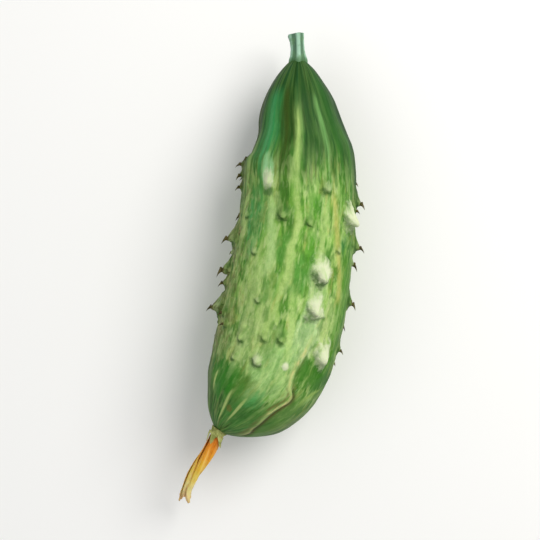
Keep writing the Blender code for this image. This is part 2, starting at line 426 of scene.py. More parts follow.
# %% Where the warts are
WARTS_ABOVE = (  # share, angle, size, creaminess, spine
    (0.247, -77, 0.70, 0.1, 0.9),
    (0.266, -89, 0.80, 0.1, 1.0),
    (0.298, -87, 0.75, 0.1, 1.0),
    (0.322, -31, 0.90, 0.9, 0.2),
    (0.330, 29, 0.95, 0.4, 0.55),
    (0.331, -88, 0.75, 0.1, 1.0),
    (0.347, 86, 1.25, 0.3, 1.3),
    (0.371, 78, 0.75, 0.1, 0.9),
    (0.394, 66, 1.70, 1.0, 0.4),
    (0.404, -13, 1.15, 0.1, 0.55),
    (0.408, -57, 0.70, 0.2, 0.5),
    (0.419, 12, 0.85, 0.1, 0.50),
    (0.454, 88, 1.35, 0.2, 1.2),
    (0.463, -86, 1.70, 0.3, 1.3),
    (0.478, 48, 0.60, 0.3, 0.4),
    (0.505, -38, 0.70, 0.3, 0.4),
    (0.537, 31, 1.62, 1.0, 0.55),
    (0.553, -86, 1.50, 0.2, 1.3),
    (0.590, 88, 1.15, 0.2, 1.1),
    (0.594, -84, 1.05, 0.2, 1.0),
    (0.625, 29, 1.45, 1.0, 0.40),
    (0.630, -25, 0.65, 0.4, 0.4),
    (0.657, -87, 1.85, 0.4, 1.2),
    (0.680, -69, 0.80, 0.1, 0.9),
    (0.705, 84, 0.80, 0.2, 0.8),
    (0.709, -60, 0.75, 0.1, 0.8),
    (0.713, 3, 0.80, 0.1, 0.45),
    (0.719, -12, 0.75, 0.1, 0.40),
    (0.727, 50, 1.50, 1.0, 0.30),
    (0.733, -33, 1.00, 0.1, 0.50),
    (0.774, 14, 0.45, 1.0, 0.1),
    (0.781, -12, 0.95, 0.7, 0.45),
    (0.798, -36, 0.65, 0.3, 0.5),
)
WART_HEIGHT = 1.2 * MM  # of one with size 1
WART_LEAN = 0.75  # how far a wart leans towards the flower, for each millimetre that it rises
WART_ROWS_BELOW = (  # an angle, and the shares along it
    (108, (0.295, 0.405, 0.495, 0.560, 0.645, 0.735)),
    (132, (0.255, 0.340, 0.435, 0.525, 0.610, 0.690, 0.775)),
    (-110, (0.300, 0.400, 0.505, 0.625, 0.745)),
    (-136, (0.260, 0.350, 0.450, 0.565, 0.690, 0.785)),
)


# %% The warts as points
def all_warts():
    """The warts above and the rows below, where waves that don't repeat make each one a little different."""
    warts = list(WARTS_ABOVE)
    for angle, shares in WART_ROWS_BELOW:
        for share in shares:
            number = len(warts)
            size = 0.95 + 0.2 * math.sin(2.4 * number)
            cream = 0.40 + 0.35 * math.sin(1.7 * number)
            aside = 5.0 * math.sin(4.1 * number)
            warts.append((share, angle + aside, size, cream, 0.9 + 0.3 * math.sin(3.1 * number)))
    return warts


warts = all_warts()
wart_places = [on_skin(share, angle) for share, angle, *_ in warts]
wart_points = points_object(
    "wart_points",
    [point for point, _, _ in wart_places],
    outward=[out for _, out, _ in wart_places],
    to_flower=[forward for _, _, forward in wart_places],
    size=[wart[2] for wart in warts],
    cream=[wart[3] for wart in warts],
    spine=[wart[4] for wart in warts],
)
print(len(warts), "warts")

# %% [markdown]
# The skin is one closed sheet. Its recipe starts from a flat grid, takes one direction as the way along
# the fruit and the other as the way round, and wraps it about the middle line. A grid gives long even
# rows of points, which suits a skin whose ribs, streaks and creases all run lengthwise. The seam goes
# underneath, where the fruit rests.

# %% The start of a tube recipe
def sample_line(line, share, name, kind="FLOAT"):
    """What a line carries at a share of its length, as Value, with the point there as Position."""
    curve = add("GeometryNodeMeshToCurve", {"Mesh": line})[0]
    sockets = {"Curves": curve, "Value": attribute(name, kind), "Factor": share}
    return add("GeometryNodeSampleCurve", sockets, mode="FACTOR", data_type=kind, use_all_curves=True)


def flat_grid(given):
    """A flat grid of Rows by Columns points round the origin, with sides of 1."""
    sockets = {"Size X": 1.0, "Size Y": 1.0, "Vertices X": given["Rows"], "Vertices Y": given["Columns"]}
    return add("GeometryNodeMeshGrid", sockets)["Mesh"]


def round_line(forward, angle):
    """The direction away from a line at an angle from straight up."""
    side = vector_calc("NORMALIZE", vector_calc("CROSS_PRODUCT", (0.0, 0.0, 1.0), forward))
    up = vector_calc("CROSS_PRODUCT", forward, side)
    return up * calc("COSINE", angle) + side * calc("SINE", angle)


def wrapped_grid(given, cap_rows):
    """A grid wrapped round the line that comes in. Returns the geometry and, as fields on its points:
    share, angle, closing, which shrinks to nothing over the cap rows at both ends, centre, outward and
    forward directions, and the half-width."""
    line = given["Geometry"]
    place = parts(position())
    last_row = given["Rows"] - 1.0
    row = (place["X"] + 0.5) * last_row
    nearer_end = calc("MINIMUM", row / cap_rows, (last_row - row) / cap_rows)
    geometry = flat_grid(given)
    geometry = keep(geometry, "share", span(row, cap_rows, last_row - cap_rows, smooth=False))
    geometry = keep(geometry, "angle", place["Y"] * (2 * math.pi))
    geometry = keep(geometry, "closing", calc("MINIMUM", 1.0, nearer_end))
    share, angle, closing = (attribute(name) for name in ("share", "angle", "closing"))
    middle = sample_line(line, share, "half_width")
    forward = vector_calc("NORMALIZE", sample_line(line, share, "forward", "FLOAT_VECTOR")["Value"])
    out = round_line(forward, angle)
    return geometry, share, angle, closing, middle["Position"], out, forward, middle["Value"]


def set_position(geometry, place=None, offset=None):
    """Moves every point to a place, or by an offset."""
    return add("GeometryNodeSetPosition", {"Geometry": geometry, "Position": place, "Offset": offset})[0]


def welded(geometry, gap):
    """The geometry with points closer than the gap made one."""
    return add("GeometryNodeMergeByDistance", {"Geometry": geometry, "Distance": gap})[0]


# %% [markdown]
# A fresh cucumber isn't round. Its section has three gentle lobes, because it grew from three parts of
# the flower, and a fine rib runs along each pale stripe. One valley between two lobes shows as a crease
# near the flower: it wanders, with a raised lip on one side. All of this goes into the half-width, as a
# sum of waves that die away at the ends.

# %% The fruit's ribs, lobes and crease
def stretched_noise(share, around, fine, long, shift, detail=3.0, distortion=0.0):
    """Noise that runs along the fruit: fine counts steps round it, long counts steps along it. The
    direction round is a sine and a cosine, not an angle, so the pattern closes on itself with no seam."""
    sockets = {
        "Vector": around * fine + vector_of(z=share * long + shift),
        "Scale": 1.0, "Detail": detail, "Roughness": 0.55, "Distortion": distortion,
    }
    return add("ShaderNodeTexNoise", sockets, noise_dimensions="3D")[0]


STRIPES = 12
STRIPE_PHASE = math.radians(-2.0)
CREASE = (  # share, and angle in degrees
    (0.0, 50), (0.50, 48), (0.573, 46), (0.634, 42), (0.68, 37.5), (0.73, 32), (0.785, 27), (0.815, 31),
    (0.837, 38.5), (0.86, 35), (0.88, 33), (0.924, 40), (0.955, 54), (1.0, 72),
)


def angle_along(share, path):
    """The angle of a line on the skin at each share, from a few shares and angles in degrees."""
    curve = curve_through(share, [(s, a / 180 + 0.5) for s, a in path])
    return (curve - 0.5) * math.pi


def crease_distance(share, angle, half_width):
    """How far a point lies from the crease's line, in millimetres, positive on its outer side."""
    gap = angle - angle_along(share, CREASE)
    return gap * (half_width / MM)


def ribbed_half_width(given, share, angle, half_width, off_crease):
    """The half-width with the three lobes, the ribs, the crease and the waist under the neck added."""
    body = span(share, 0.0, 0.12) * span(share, 1.0, 0.9)
    lobes = calc("COSINE", (angle - math.radians(95)) * 3.0)
    ribs = calc("COSINE", (angle - STRIPE_PHASE) * STRIPES)
    rib_strength = 0.35 + (bell(share, 0.16, 0.12) + bell(share, 0.93, 0.07))
    valley = bell(off_crease, 0.25, 0.75) * -0.42
    lip = bell(off_crease, -1.0, 0.85) * 0.26
    crease = (valley + lip) * (span(share, 0.60, 0.84) * span(share, 1.0, 0.95))
    inner_side = bell(angle, math.radians(-88), math.radians(32))
    waist = inner_side * span(share, 0.12, 0.21) * span(share, 0.262, 0.235) * (-1.1 * MM)
    waves = lobes * given["Lobe height"] + ribs * rib_strength * given["Rib height"] + waist
    return half_width + (waves * body + crease * MM)


# %% [markdown]
# A wart starts as a broad soft mound, rises to a small peak that leans towards the flower, and sits in a
# faint ring where the skin is drawn up. Each point of the skin asks for its nearest wart and reads that
# wart's size, so the same few nodes make all of them. Distance along the fruit counts for less than
# distance round it, which makes them longer than they are wide.

# %% The warts' relief
def nearest_wart(given, place, out, forward):
    """The nearest wart's size, creaminess and spine, how far away it is as a share of its reach, and how
    far a point lies on its shaded side, which faces the flower and the inner side of the bend."""
    cloud = add("GeometryNodeObjectInfo", {"Object": given["Warts"]}, transform_space="ORIGINAL")["Geometry"]
    sockets = {"Geometry": cloud, "Sample Position": place}
    index = add("GeometryNodeSampleNearest", sockets, domain="POINT")[0]

    def of_wart(value, kind="FLOAT"):
        sockets = {"Geometry": cloud, "Value": value, "Index": index}
        return add("GeometryNodeSampleIndex", sockets, data_type=kind, domain="POINT")["Value"]

    way = place - of_wart(position(), "FLOAT_VECTOR")
    size, cream, spine = (of_wart(attribute(name)) for name in ("size", "cream", "spine"))
    along = vector_calc("DOT_PRODUCT", way, forward)
    across = vector_calc("DOT_PRODUCT", way, vector_calc("CROSS_PRODUCT", out, forward))
    squared = vector_calc("DOT_PRODUCT", way, way) - along * along * given["Wart stretch"]
    distance = calc("SQRT", calc("MAXIMUM", squared, 0.0))
    reach = given["Wart reach"] * size
    ragged = 0.35 + noise(place, 380.0, 3.0) * 1.3
    shaded = along * 0.9 - across * 0.4
    return size, cream, spine, distance / reach * ragged, shaded / reach


def wart_height(given, size):
    """How high a wart of this size rises. It grows faster than the size does."""
    return size**1.4 * given["Wart height"]


def wart_relief(given, size, near):
    """How high the skin stands over its smooth place, near a wart of this size."""
    mound = span(near, 1.05, 0.0)
    peak = span(near, 0.5, 0.0)
    ring = bell(near, 1.15, 0.22) * -0.08
    return (mound * 0.5 + (peak * 0.5 + ring)) * wart_height(given, size)


# %% [markdown]
# Now the whole skin. After the ribs and the warts comes a little unevenness, large and small, because no
# fruit is smooth. Last, everything below the surface is pressed flat, softly, as the fruit's own weight
# does, and the seam and the two ends are welded so that the skin has no holes.

# %% The fruit's skin
def along_surface(given, share, angle):
    """The share of the length measured on the skin itself, which is longer on the outer side of the bend."""
    return share + sample_line(given["Geometry"], share, "stretch")["Value"] * calc("SINE", angle)


def fruit_recipe():
    """The whole skin, from the wrapped grid to the flat spot it rests on."""
    given = new_recipe("fruit_skin_recipe", {
        "Rows": 340, "Columns": 270, "Rib height": 0.11 * MM, "Lobe height": 0.22 * MM,
        "Wart reach": 2.3 * MM, "Wart height": WART_HEIGHT, "Wart lean": WART_LEAN, "Wart stretch": 0.35,
        "Unevenness": 0.16 * MM, "Streak height": 0.35 * MM,
        "Warts": bpy.types.Object, "Material": bpy.types.Material,
    })
    geometry, share, angle, closing, centre, out, forward, half_width = wrapped_grid(given, 5.0)
    off_crease = crease_distance(share, angle, half_width)
    wide = ribbed_half_width(given, share, angle, half_width, off_crease)
    geometry = set_position(geometry, centre + out * (wide * closing))
    geometry = keep(geometry, "off_crease", off_crease)
    here = position()
    size, cream, spine, near, shaded = nearest_wart(given, here, out, forward)
    height = wart_relief(given, size, near)
    for label, value in (("wart", near), ("wart_shaded", shaded), ("cream", cream), ("spine", spine)):
        geometry = keep(geometry, label, value)
    geometry = set_position(geometry, offset=out * height + forward * (height * given["Wart lean"]))
    large = noise(here, 95.0, 1.0) - 0.5
    small = noise(here, 420.0, 3.0) - 0.5
    warty_part = span(share, 0.2, 0.3) * span(share, 0.9, 0.8)
    bumps = (large * 2.4 + small * (0.4 + warty_part * 1.6)) * given["Unevenness"]
    around = vector_of(calc("SINE", angle), calc("COSINE", angle))
    strokes = stretched_noise(share, around, 8.0, 11.0, 2.0) - 0.5
    bumps = (bumps + strokes * given["Streak height"]) * closing
    geometry = set_position(geometry, offset=out * bumps)
    place = parts(here)
    pressed = calc("SMOOTH_MAX", place["Z"], 0.0, 0.3 * MM)
    geometry = set_position(geometry, vector_of(place["X"], place["Y"], pressed))
    geometry = keep(geometry, "around", around, "FLOAT_VECTOR")
    geometry = keep(geometry, "along", along_surface(given, share, angle))
    return end_recipe(welded(geometry, 0.004 * MM), given["Material"])


# %% [markdown]
# The colour of a cucumber's skin follows the same two directions as its shape, so its material reads two
# values that the recipe left on every point: the share of the length, and the direction round the middle
# line. Patterns that use them run lengthwise and bend with the fruit. A pattern in plain space would cut
# across it like wood grain.

# %% Helpers for materials
def new_finish(name):
    """A new material, with its shader for the finish to feed."""
    material = bpy.data.materials.new(name)
    material.use_nodes = True
    InHand.tree = material.node_tree
    return material, InHand.tree.nodes["Principled BSDF"]


def object_place():
    """The place on the piece, for patterns that needn't follow the fruit's length."""
    return add("ShaderNodeTexCoord")["Object"]


def read(name, output="Fac"):
    """A value that the recipe stored on the points."""
    return add("ShaderNodeAttribute", attribute_name=name, attribute_type="GEOMETRY")[output]


def blend(share, first, second, way="MIX"):
    """The first colour where share is 0 and the second where it's 1."""
    first, second = ((*colour, 1.0) if isinstance(colour, tuple) else colour for colour in (first, second))
    sockets = {0: share, 6: first, 7: second}
    return add("ShaderNodeMix", sockets, data_type="RGBA", blend_type=way, clamp_factor=True)[2]


def colours_along(value, stops):
    """A row of colours, each at its own place from 0 to 1."""
    made = add("ShaderNodeValToRGB", {0: value})
    row = made.node.color_ramp
    while len(row.elements) < len(stops):
        row.elements.new(0.5)
    for element, (place, colour) in zip(row.elements, stops):
        element.position = place
        element.color = (*colour, 1.0)
    return made["Color"]


def bump(height, strength, distance):
    """A height turned into a tilt of the surface, for detail too fine for the mesh."""
    return add("ShaderNodeBump", {"Height": height, "Strength": strength, "Distance": distance})[0]


# %% [markdown]
# Every mask in this material starts from the same few values: the share of the length, the angle round
# the middle line, and the direction round as a sine and a cosine. A fourth one, the pace, is the way
# along the skin itself, but slower on the neck, so that patterns made with it come out drawn long there
# and short further down. Patches are ovals on the skin, measured in millimetres, with an edge that noise
# makes ragged.

# %% Places and patches on the skin
SKIN_RADIUS = 15.8  # millimetres, where the fruit is thick
SKIN_LENGTH = 103.5  # millimetres along the middle line
PACE = (  # the pace, where 0.1 on the left is the stalk's seat and 0.9 is the flower's
    (0.0, 0.02), (0.10, 0.04), (0.22, 0.08), (0.34, 0.16), (0.46, 0.30), (1.0, 1.0),
)
Places = namedtuple("Places", "share angle around pace")


def skin_places():
    """Where a point of the skin is, in each of the ways that the layers ask for."""
    around = read("around", "Vector")
    sides = parts(around)
    pace = curve_through(read("along") * 0.8 + 0.1, PACE)
    return Places(read("share"), calc("ARCTAN2", sides["X"], sides["Y"]), around, pace)


def streaks(places, fine, long, shift, detail=3.0):
    """Noise drawn out along the fruit, long on the neck and short further down."""
    return stretched_noise(places.pace, places.around, fine, long, shift, detail, 0.35)


def sway(places, fine, long, shift, amount, detail=3.0):
    """The same noise around 0, to push a line or an edge to and fro."""
    return (streaks(places, fine, long, shift, detail) - 0.5) * amount


def oval(places, share, angle, half_length, half_width, ragged):
    """A patch that is 1 inside an oval on the skin. Ragged is a noise around 0 that disturbs its edge."""
    away = calc("WRAP", places.angle - math.radians(angle), math.pi, -math.pi)
    across = away * (SKIN_RADIUS / half_width)
    along = (places.share - share) * (SKIN_LENGTH / half_length)
    size = across * across + along * along
    return span(size + ragged, 1.7, 0.2)


# %% [markdown]
# A young cucumber is dark where it's protected, by the stalk, and pale where it has stretched most, along
# the middle. It lay on the ground on one side, which stays yellowish. Its flanks are painted with shade:
# they are darker green than the top, and the inner one goes olive-brown at its edge. So the ground tone
# goes from one colour to the next along the fruit, and then is tinted by the direction round it, which
# paints the shade on the flanks.

# %% The skin's ground tone
DARK_GREEN = (0.009, 0.058, 0.011)
OLIVE_SHADE = (0.036, 0.066, 0.006)
BLUE_GREEN = (0.034, 0.270, 0.075)
BODY_GREEN = (0.165, 0.370, 0.050)
PALE_GREEN = (0.370, 0.550, 0.165)
CREAM = (0.615, 0.665, 0.440)
TAN = (0.400, 0.390, 0.110)
BROWN = (0.080, 0.075, 0.018)
GROUND_COLOURS = (  # at each share
    (0.00, DARK_GREEN),
    (0.13, (0.012, 0.080, 0.013)),
    (0.22, (0.036, 0.150, 0.016)),
    (0.30, (0.105, 0.285, 0.034)),
    (0.41, (0.170, 0.365, 0.047)),
    (0.52, BODY_GREEN),
    (0.66, (0.270, 0.455, 0.100)),
    (0.80, (0.325, 0.500, 0.155)),
    (0.87, (0.115, 0.290, 0.042)),
    (0.94, (0.048, 0.180, 0.022)),
    (1.00, (0.022, 0.095, 0.014)),
)
# Painted shade: the flanks darken from these angles on, as light falls off towards them seen from above.
FLANK_SHADE_STARTS = ((-38, -78), (-64, -92), (44, 76))  # where the inner, edge and outer tints start and are full


def ground_tone(places):
    """The colour under all the layers, with painted shade on the flanks."""
    share, angle, around, _ = places
    drift = sway(places, 3.0, 5.0, 0.0, 0.25, 4.0)
    fingers = sway(places, 11.0, 6.0, 3.0, 0.22)
    tone = colours_along(share + (drift + fingers), GROUND_COLOURS)
    turned = angle + drift * 2.0
    # Painted shade: the inner flank, its edge and the outer flank are tinted darker than the top.
    inner, edge, outer = (
        span(turned, math.radians(start), math.radians(full)) for start, full in FLANK_SHADE_STARTS)
    tone = blend(inner * 0.70, tone, (0.100, 0.200, 0.030))
    tone = blend(edge * 0.60, tone, (0.075, 0.080, 0.018))
    tone = blend(outer * span(share, 0.20, 0.38) * 0.80, tone, (0.060, 0.185, 0.016))
    upward = parts(around)["Y"]
    ground_side = span(upward, -0.45, -0.92) * span(share, 0.12, 0.4) * span(share, 0.97, 0.85)
    return blend(ground_side * 0.8, tone, (0.400, 0.490, 0.150))


# %% [markdown]
# Over the ground tone lie strokes of darker and paler green, from broad ones down to fine ones, and a few
# tan ones. Each layer is the stretched noise cut off between two levels, in a colour of its own. The neck
# is protected from the sun, so there the same strokes come in darker colours. Both flanks then get a
# painted shade, darker than the top, as they turn away from the light.

# %% The skin's strokes
STROKES = (  # steps round, steps along, shift, the two levels, colour, amount
    (4.0, 9.0, 2.0, 0.49, 0.38, (0.068, 0.230, 0.020), 0.75),
    (4.5, 9.0, 5.0, 0.52, 0.63, PALE_GREEN, 0.60),
    (6.5, 14.0, 2.0, 0.49, 0.38, (0.050, 0.195, 0.015), 0.75),
    (7.0, 15.0, 11.0, 0.52, 0.63, (0.420, 0.590, 0.185), 0.65),
    (8.0, 16.0, 15.0, 0.55, 0.66, TAN, 0.40),
    (10.5, 23.0, 21.0, 0.48, 0.37, (0.042, 0.165, 0.013), 0.55),
    (11.5, 24.0, 25.0, 0.53, 0.64, (0.530, 0.660, 0.260), 0.45),
    (19.0, 42.0, 31.0, 0.46, 0.34, (0.050, 0.130, 0.015), 0.25),
    (21.0, 44.0, 37.0, 0.56, 0.68, (0.600, 0.700, 0.350), 0.20),
)

# Painted shade: both flanks, seen from above, are darkened by these factors.
FLANK_SHADES = (  # angle, half width in degrees, and what each colour is multiplied by
    (88, 26, (0.52, 0.60, 0.48)),
    (-90, 22, (0.66, 0.60, 0.55)),
)


def stroked(places, tone):
    """The strokes, each in a darker colour on the neck and towards the flower."""
    share = places.share
    on_body = span(share, 0.20, 0.36) + span(share, 0.80, 0.92, 0.0, -0.75)
    for fine, long, shift, start, end, colour, amount in STROKES:
        mask = span(streaks(places, fine, long, shift, 1.5), start, end)
        on_neck = (0.15 * colour[0], 0.26 * colour[1], 0.15 * colour[2])
        tone = blend(mask * amount, tone, blend(on_body, on_neck, colour))
    return tone


def flank_shaded(places, tone):
    """Painted shade on each flank, multiplied into the tone."""
    turned = places.angle + sway(places, 6.0, 14.0, 41.0, 0.5)
    body = span(places.share, 1.0, 0.9, 0.2, 1.0)
    for middle, width, shade in FLANK_SHADES:
        tone = blend(bell(turned, math.radians(middle), math.radians(width)) * body, tone, shade, "MULTIPLY")
    return tone


# %% [markdown]
# Two finer things lie over everything so far. The flank on the inner side of the bend is mottled with
# olive and tan. And no colour on a real skin is flat: a fine grain runs through all of them, from the
# layers of cells that the light passes through.

# %% The skin's mottling and grain
MOTTLES = (  # steps round, steps along, shift, the two levels, colour, amount
    (9.0, 44.0, 99.0, 0.50, 0.62, (0.115, 0.120, 0.022), 0.80),
    (11.0, 50.0, 103.0, 0.55, 0.66, (0.450, 0.450, 0.190), 0.60),
)


def mottled(places, tone):
    """Olive and tan mottling on the flank on the inner side of the bend."""
    flank = bell(places.angle, math.radians(-80), math.radians(32))
    flank = flank * span(places.share, 0.22, 0.32) * span(places.share, 0.92, 0.78)
    for fine, long, shift, start, end, colour, amount in MOTTLES:
        mask = span(streaks(places, fine, long, shift), start, end)
        tone = blend(mask * flank * amount, tone, colour)
    return tone


def grained(places, tone):
    """The fine grain that darkens every colour here and there."""
    coarse = span(streaks(places, 15.0, 60.0, 95.0, 2.0), 0.60, 0.36, 0.0, 0.27)
    fine = span(streaks(places, 38.0, 150.0, 97.0, 2.0), 0.60, 0.38, 0.0, 0.20)
    return blend(coarse + fine, tone, (0.50, 0.66, 0.42), "MULTIPLY")


# %% [markdown]
# Pale stripes run from the neck towards the flower. There are twelve places for them, evenly spaced, but
# few stripes run the whole way: they wander, break off and differ in strength, so noise switches each of
# them on and off.

# %% The skin's stripes
STRIPE_STRENGTHS = (  # at each share
    (0.05, 0.0), (0.14, 0.45), (0.33, 0.8), (0.50, 0.55), (0.80, 0.45), (0.92, 0.0),
)
STRIPE_COLOURS = (  # at each share
    (0.05, (0.100, 0.220, 0.055)),
    (0.20, (0.250, 0.430, 0.115)),
    (0.45, (0.430, 0.590, 0.190)),
    (1.00, (0.420, 0.580, 0.240)),
)


def striped(places, tone):
    """The twelve pale stripes, broken by noise."""
    share, angle = places.share, places.angle
    turned = angle - STRIPE_PHASE + sway(places, 2.0, 9.0, 51.0, 0.34, 2.0)
    line = span(calc("COSINE", turned * STRIPES), 0.45, 0.95)
    broken = span(streaks(places, 3.0, 7.0, 57.0), 0.44, 0.62)
    strength = colours_along(share, [(place, (value,) * 3) for place, value in STRIPE_STRENGTHS])
    return blend(line * broken * strength, tone, colours_along(share, STRIPE_COLOURS))


# %% [markdown]
# The neck has its own colours between the stripes: olive bands close to the top line, and one broad
# blue-green band on the inner side, which ends in a pale drop where the first warts begin.

# %% The neck's bands
NECK_BANDS = (  # angle and half width in degrees, colour, amount, where it starts and ends
    (-66, 8, DARK_GREEN, 0.85, 0.00, 0.30),
    (-39, 14, BLUE_GREEN, 1.00, 0.06, 0.34),
    (-43, 4, (0.075, 0.330, 0.105), 0.70, 0.10, 0.32),
    (-17, 5, OLIVE_SHADE, 0.90, 0.05, 0.38),
    (11, 7, (0.013, 0.066, 0.008), 0.95, 0.03, 0.36),
    (28, 4, (0.170, 0.370, 0.110), 0.80, 0.08, 0.38),
    (45, 8, (0.024, 0.120, 0.011), 0.85, 0.03, 0.32),
    (60, 15, (0.022, 0.095, 0.015), 0.80, 0.00, 0.34),
    (63, 5, (0.056, 0.225, 0.012), 0.45, 0.15, 0.36),
    (86, 10, DARK_GREEN, 0.90, 0.00, 0.40),
)


def banded_neck(places, tone):
    """The neck's bands, each with an end that noise makes ragged."""
    share = places.share
    turned = places.angle + sway(places, 3.5, 9.0, 61.0, 0.30)
    reach = share + sway(places, 11.0, 5.0, 67.0, 0.35)
    broken = span(streaks(places, 13.0, 9.0, 69.0), 0.30, 0.55, 0.65, 1.0)
    for middle, width, colour, amount, start, end in NECK_BANDS:
        shown = span(share, start, start + 0.05) * span(reach, end, end - 0.12) * broken
        band = bell(turned, math.radians(middle), math.radians(width))
        tone = blend(band * shown * amount, tone, colour)
    return tone


# %% [markdown]
# Some larger patches have a place of their own: the pale drop, a blue-green cast on the inner side,
# deeper green between the pale stripes, and towards the flower the dark green that comes back, with
# painted shade on the corner of the inner side next to the flower. The underside has some like them.

# %% The skin's patches
DEEP_GREEN = (0.060, 0.195, 0.020)
MID_GREEN = (0.100, 0.300, 0.042)
PATCHES = (  # share, angle, half length and half width in millimetres, colour, amount
    (0.420, -44, 10.0, 3.0, (0.080, 0.320, 0.085), 0.85),
    (0.360, -15, 4.6, 1.8, DEEP_GREEN, 0.95),
    (0.430, -8, 5.0, 2.0, DEEP_GREEN, 0.60),
    (0.490, -11, 4.4, 2.1, MID_GREEN, 0.95),
    (0.592, -16, 4.4, 1.7, MID_GREEN, 0.95),
    (0.553, 9, 4.4, 2.5, MID_GREEN, 0.95),
    (0.400, 15, 7.0, 2.2, (0.100, 0.310, 0.026), 0.80),
    (0.495, 18, 5.5, 1.9, (0.100, 0.310, 0.026), 0.80),
    (0.458, 55, 1.9, 1.8, (0.030, 0.190, 0.050), 0.90),
    (0.600, 66, 15.0, 3.6, (0.085, 0.270, 0.014), 1.20),
    (0.560, 27, 6.5, 3.0, (0.460, 0.610, 0.280), 0.75),
    (0.685, 27, 8.0, 3.2, (0.480, 0.660, 0.310), 0.95),
    (0.660, 47, 7.0, 2.0, (0.480, 0.590, 0.240), 0.50),
    (0.800, 6, 7.0, 6.5, (0.360, 0.570, 0.200), 0.90),
    (0.650, -28, 9.0, 5.0, (0.400, 0.530, 0.190), 0.50),
    (0.745, -22, 6.5, 5.0, (0.370, 0.510, 0.180), 0.60),
    (0.770, -60, 6.5, 3.8, (0.150, 0.220, 0.050), 0.60),
    (0.660, -66, 10.0, 3.4, (0.200, 0.270, 0.065), 0.40),
    # Painted shade: the dark corner on the inner side next to the flower.
    (0.872, -40, 5.4, 6.8, (0.034, 0.200, 0.014), 1.50),
    (0.872, -11, 4.2, 3.2, (0.100, 0.205, 0.026), 0.95),
    (0.777, 52, 3.7, 7.4, (0.040, 0.175, 0.010), 1.80),
    (0.930, 12, 5.6, 10.0, (0.064, 0.225, 0.036), 0.95),
    (0.880, 4, 2.6, 3.0, (0.095, 0.340, 0.100), 0.70),
    (0.850, 120, 5.4, 7.4, (0.050, 0.170, 0.016), 0.95),
    (0.835, -104, 8.0, 6.0, (0.050, 0.180, 0.014), 0.85),
    (0.890, 175, 5.6, 9.4, (0.055, 0.185, 0.022), 0.95),
)

SPOTS = (  # the same, for small ones that lie over the strokes
    (0.296, -33, 4.4, 1.9, (0.300, 0.590, 0.280), 0.90),
    (0.314, -32, 2.6, 1.5, CREAM, 0.75),
    # Painted shade: the dark place under the drop.
    (0.351, -31, 1.3, 1.5, (0.026, 0.105, 0.022), 0.75),
    (0.936, -12, 0.8, 1.3, (0.200, 0.110, 0.020), 0.45),
)


# %% Patches under the strokes and over them
def patch_masks(places):
    """Where each patch is, with its colour. They're worked out once and used under the strokes and over
    them."""
    ragged = sway(places, 10.0, 22.0, 71.0, 3.6, 4.0)
    places = places._replace(share=places.share + sway(places, 9.0, 6.0, 75.0, 0.07))
    return [(oval(places, *shape, ragged) * amount, colour) for *shape, colour, amount in PATCHES]


def patched(masks, strength, tone):
    """Every patch mixed into the tone, all at one strength."""
    for mask, colour in masks:
        tone = blend(mask * strength, tone, colour)
    return tone


def spotted(places, tone):
    """The few small spots that lie over the strokes: the drop with a spot of painted shade under it, and a
    rusty fleck."""
    ragged = sway(places, 20.0, 26.0, 73.0, 3.0)
    for *shape, colour, amount in SPOTS:
        tone = blend(oval(places, *shape, ragged) * amount, tone, colour)
    return tone


# %% [markdown]
# A few pale lines can be followed a long way down the fruit, among them the ridge along its top. Each is
# a short list of places, joined by a smooth curve, and its strength comes and goes with the noise.

# %% The skin's lines
LINES = (  # half width in millimetres, colour, amount, and the shares and angles that it passes
    (0.8, (0.400, 0.560, 0.170), 0.80,
     ((0.11, -2), (0.32, -3), (0.456, 0), (0.49, -3), (0.56, -4), (0.62, -8), (0.74, -12))),
    (0.8, (0.430, 0.600, 0.200), 0.70, ((0.56, 2), (0.606, 6), (0.695, 11), (0.78, 12))),
    (1.4, (0.420, 0.610, 0.230), 0.80, ((0.34, -28), (0.43, -25), (0.52, -21), (0.58, -22))),
    (1.1, (0.470, 0.470, 0.130), 0.80, ((0.32, 35), (0.364, 39), (0.459, 45), (0.553, 54), (0.62, 57))),
    (0.8, (0.350, 0.480, 0.120), 0.80, ((0.77, 88), (0.793, 73), (0.814, 58), (0.83, 52), (0.87, 50))),
    (0.8, (0.330, 0.440, 0.110), 0.70, ((0.80, 98), (0.83, 76), (0.86, 66), (0.90, 66), (0.95, 78))),
)


def lined(places, tone):
    """The pale lines that can be followed down the fruit."""
    share = places.share
    turned = places.angle + sway(places, 5.0, 12.0, 81.0, 0.12)
    broken = span(streaks(places, 9.0, 16.0, 85.0), 0.34, 0.52, 0.35, 1.0)
    for half_width, colour, amount, path in LINES:
        start, end = path[0][0], path[-1][0]
        shown = span(share, start, start + 0.05) * span(share, end, end - 0.04)
        line = bell(turned - angle_along(share, path), 0.0, half_width / SKIN_RADIUS)
        tone = blend(line * shown * broken * amount, tone, colour)
    return tone


# %% [markdown]
# Round the flower's seat the skin is drawn together, and a few pale streaks run out from it over the dark
# green. Two clear ones lie on top; the rest are noise that has been cut to thin lines.

# %% The streaks round the flower
FLOWER_STREAKS = (  # share, angle, half length and half width in millimetres
    (0.938, -21, 4.4, 0.55),
    (0.926, -2, 4.0, 0.55),
    (0.900, -52, 3.0, 0.50),
)


def flower_streaked(places, tone):
    """Pale streaks that run out from the flower's seat."""
    share = places.share
    near_seat = span(share, 0.86, 0.90) * span(share, 0.985, 0.955)
    lines = span(calc("COSINE", places.angle * 19.0), 0.70, 0.98) * near_seat
    some = span(streaks(places, 3.4, 1.0, 77.0, 1.0), 0.50, 0.62)
    tone = blend(lines * some * 0.5, tone, (0.250, 0.350, 0.100))
    for shape in FLOWER_STREAKS:
        tone = blend(oval(places, *shape, 0.0) * 0.85, tone, (0.430, 0.540, 0.180))
    return tone
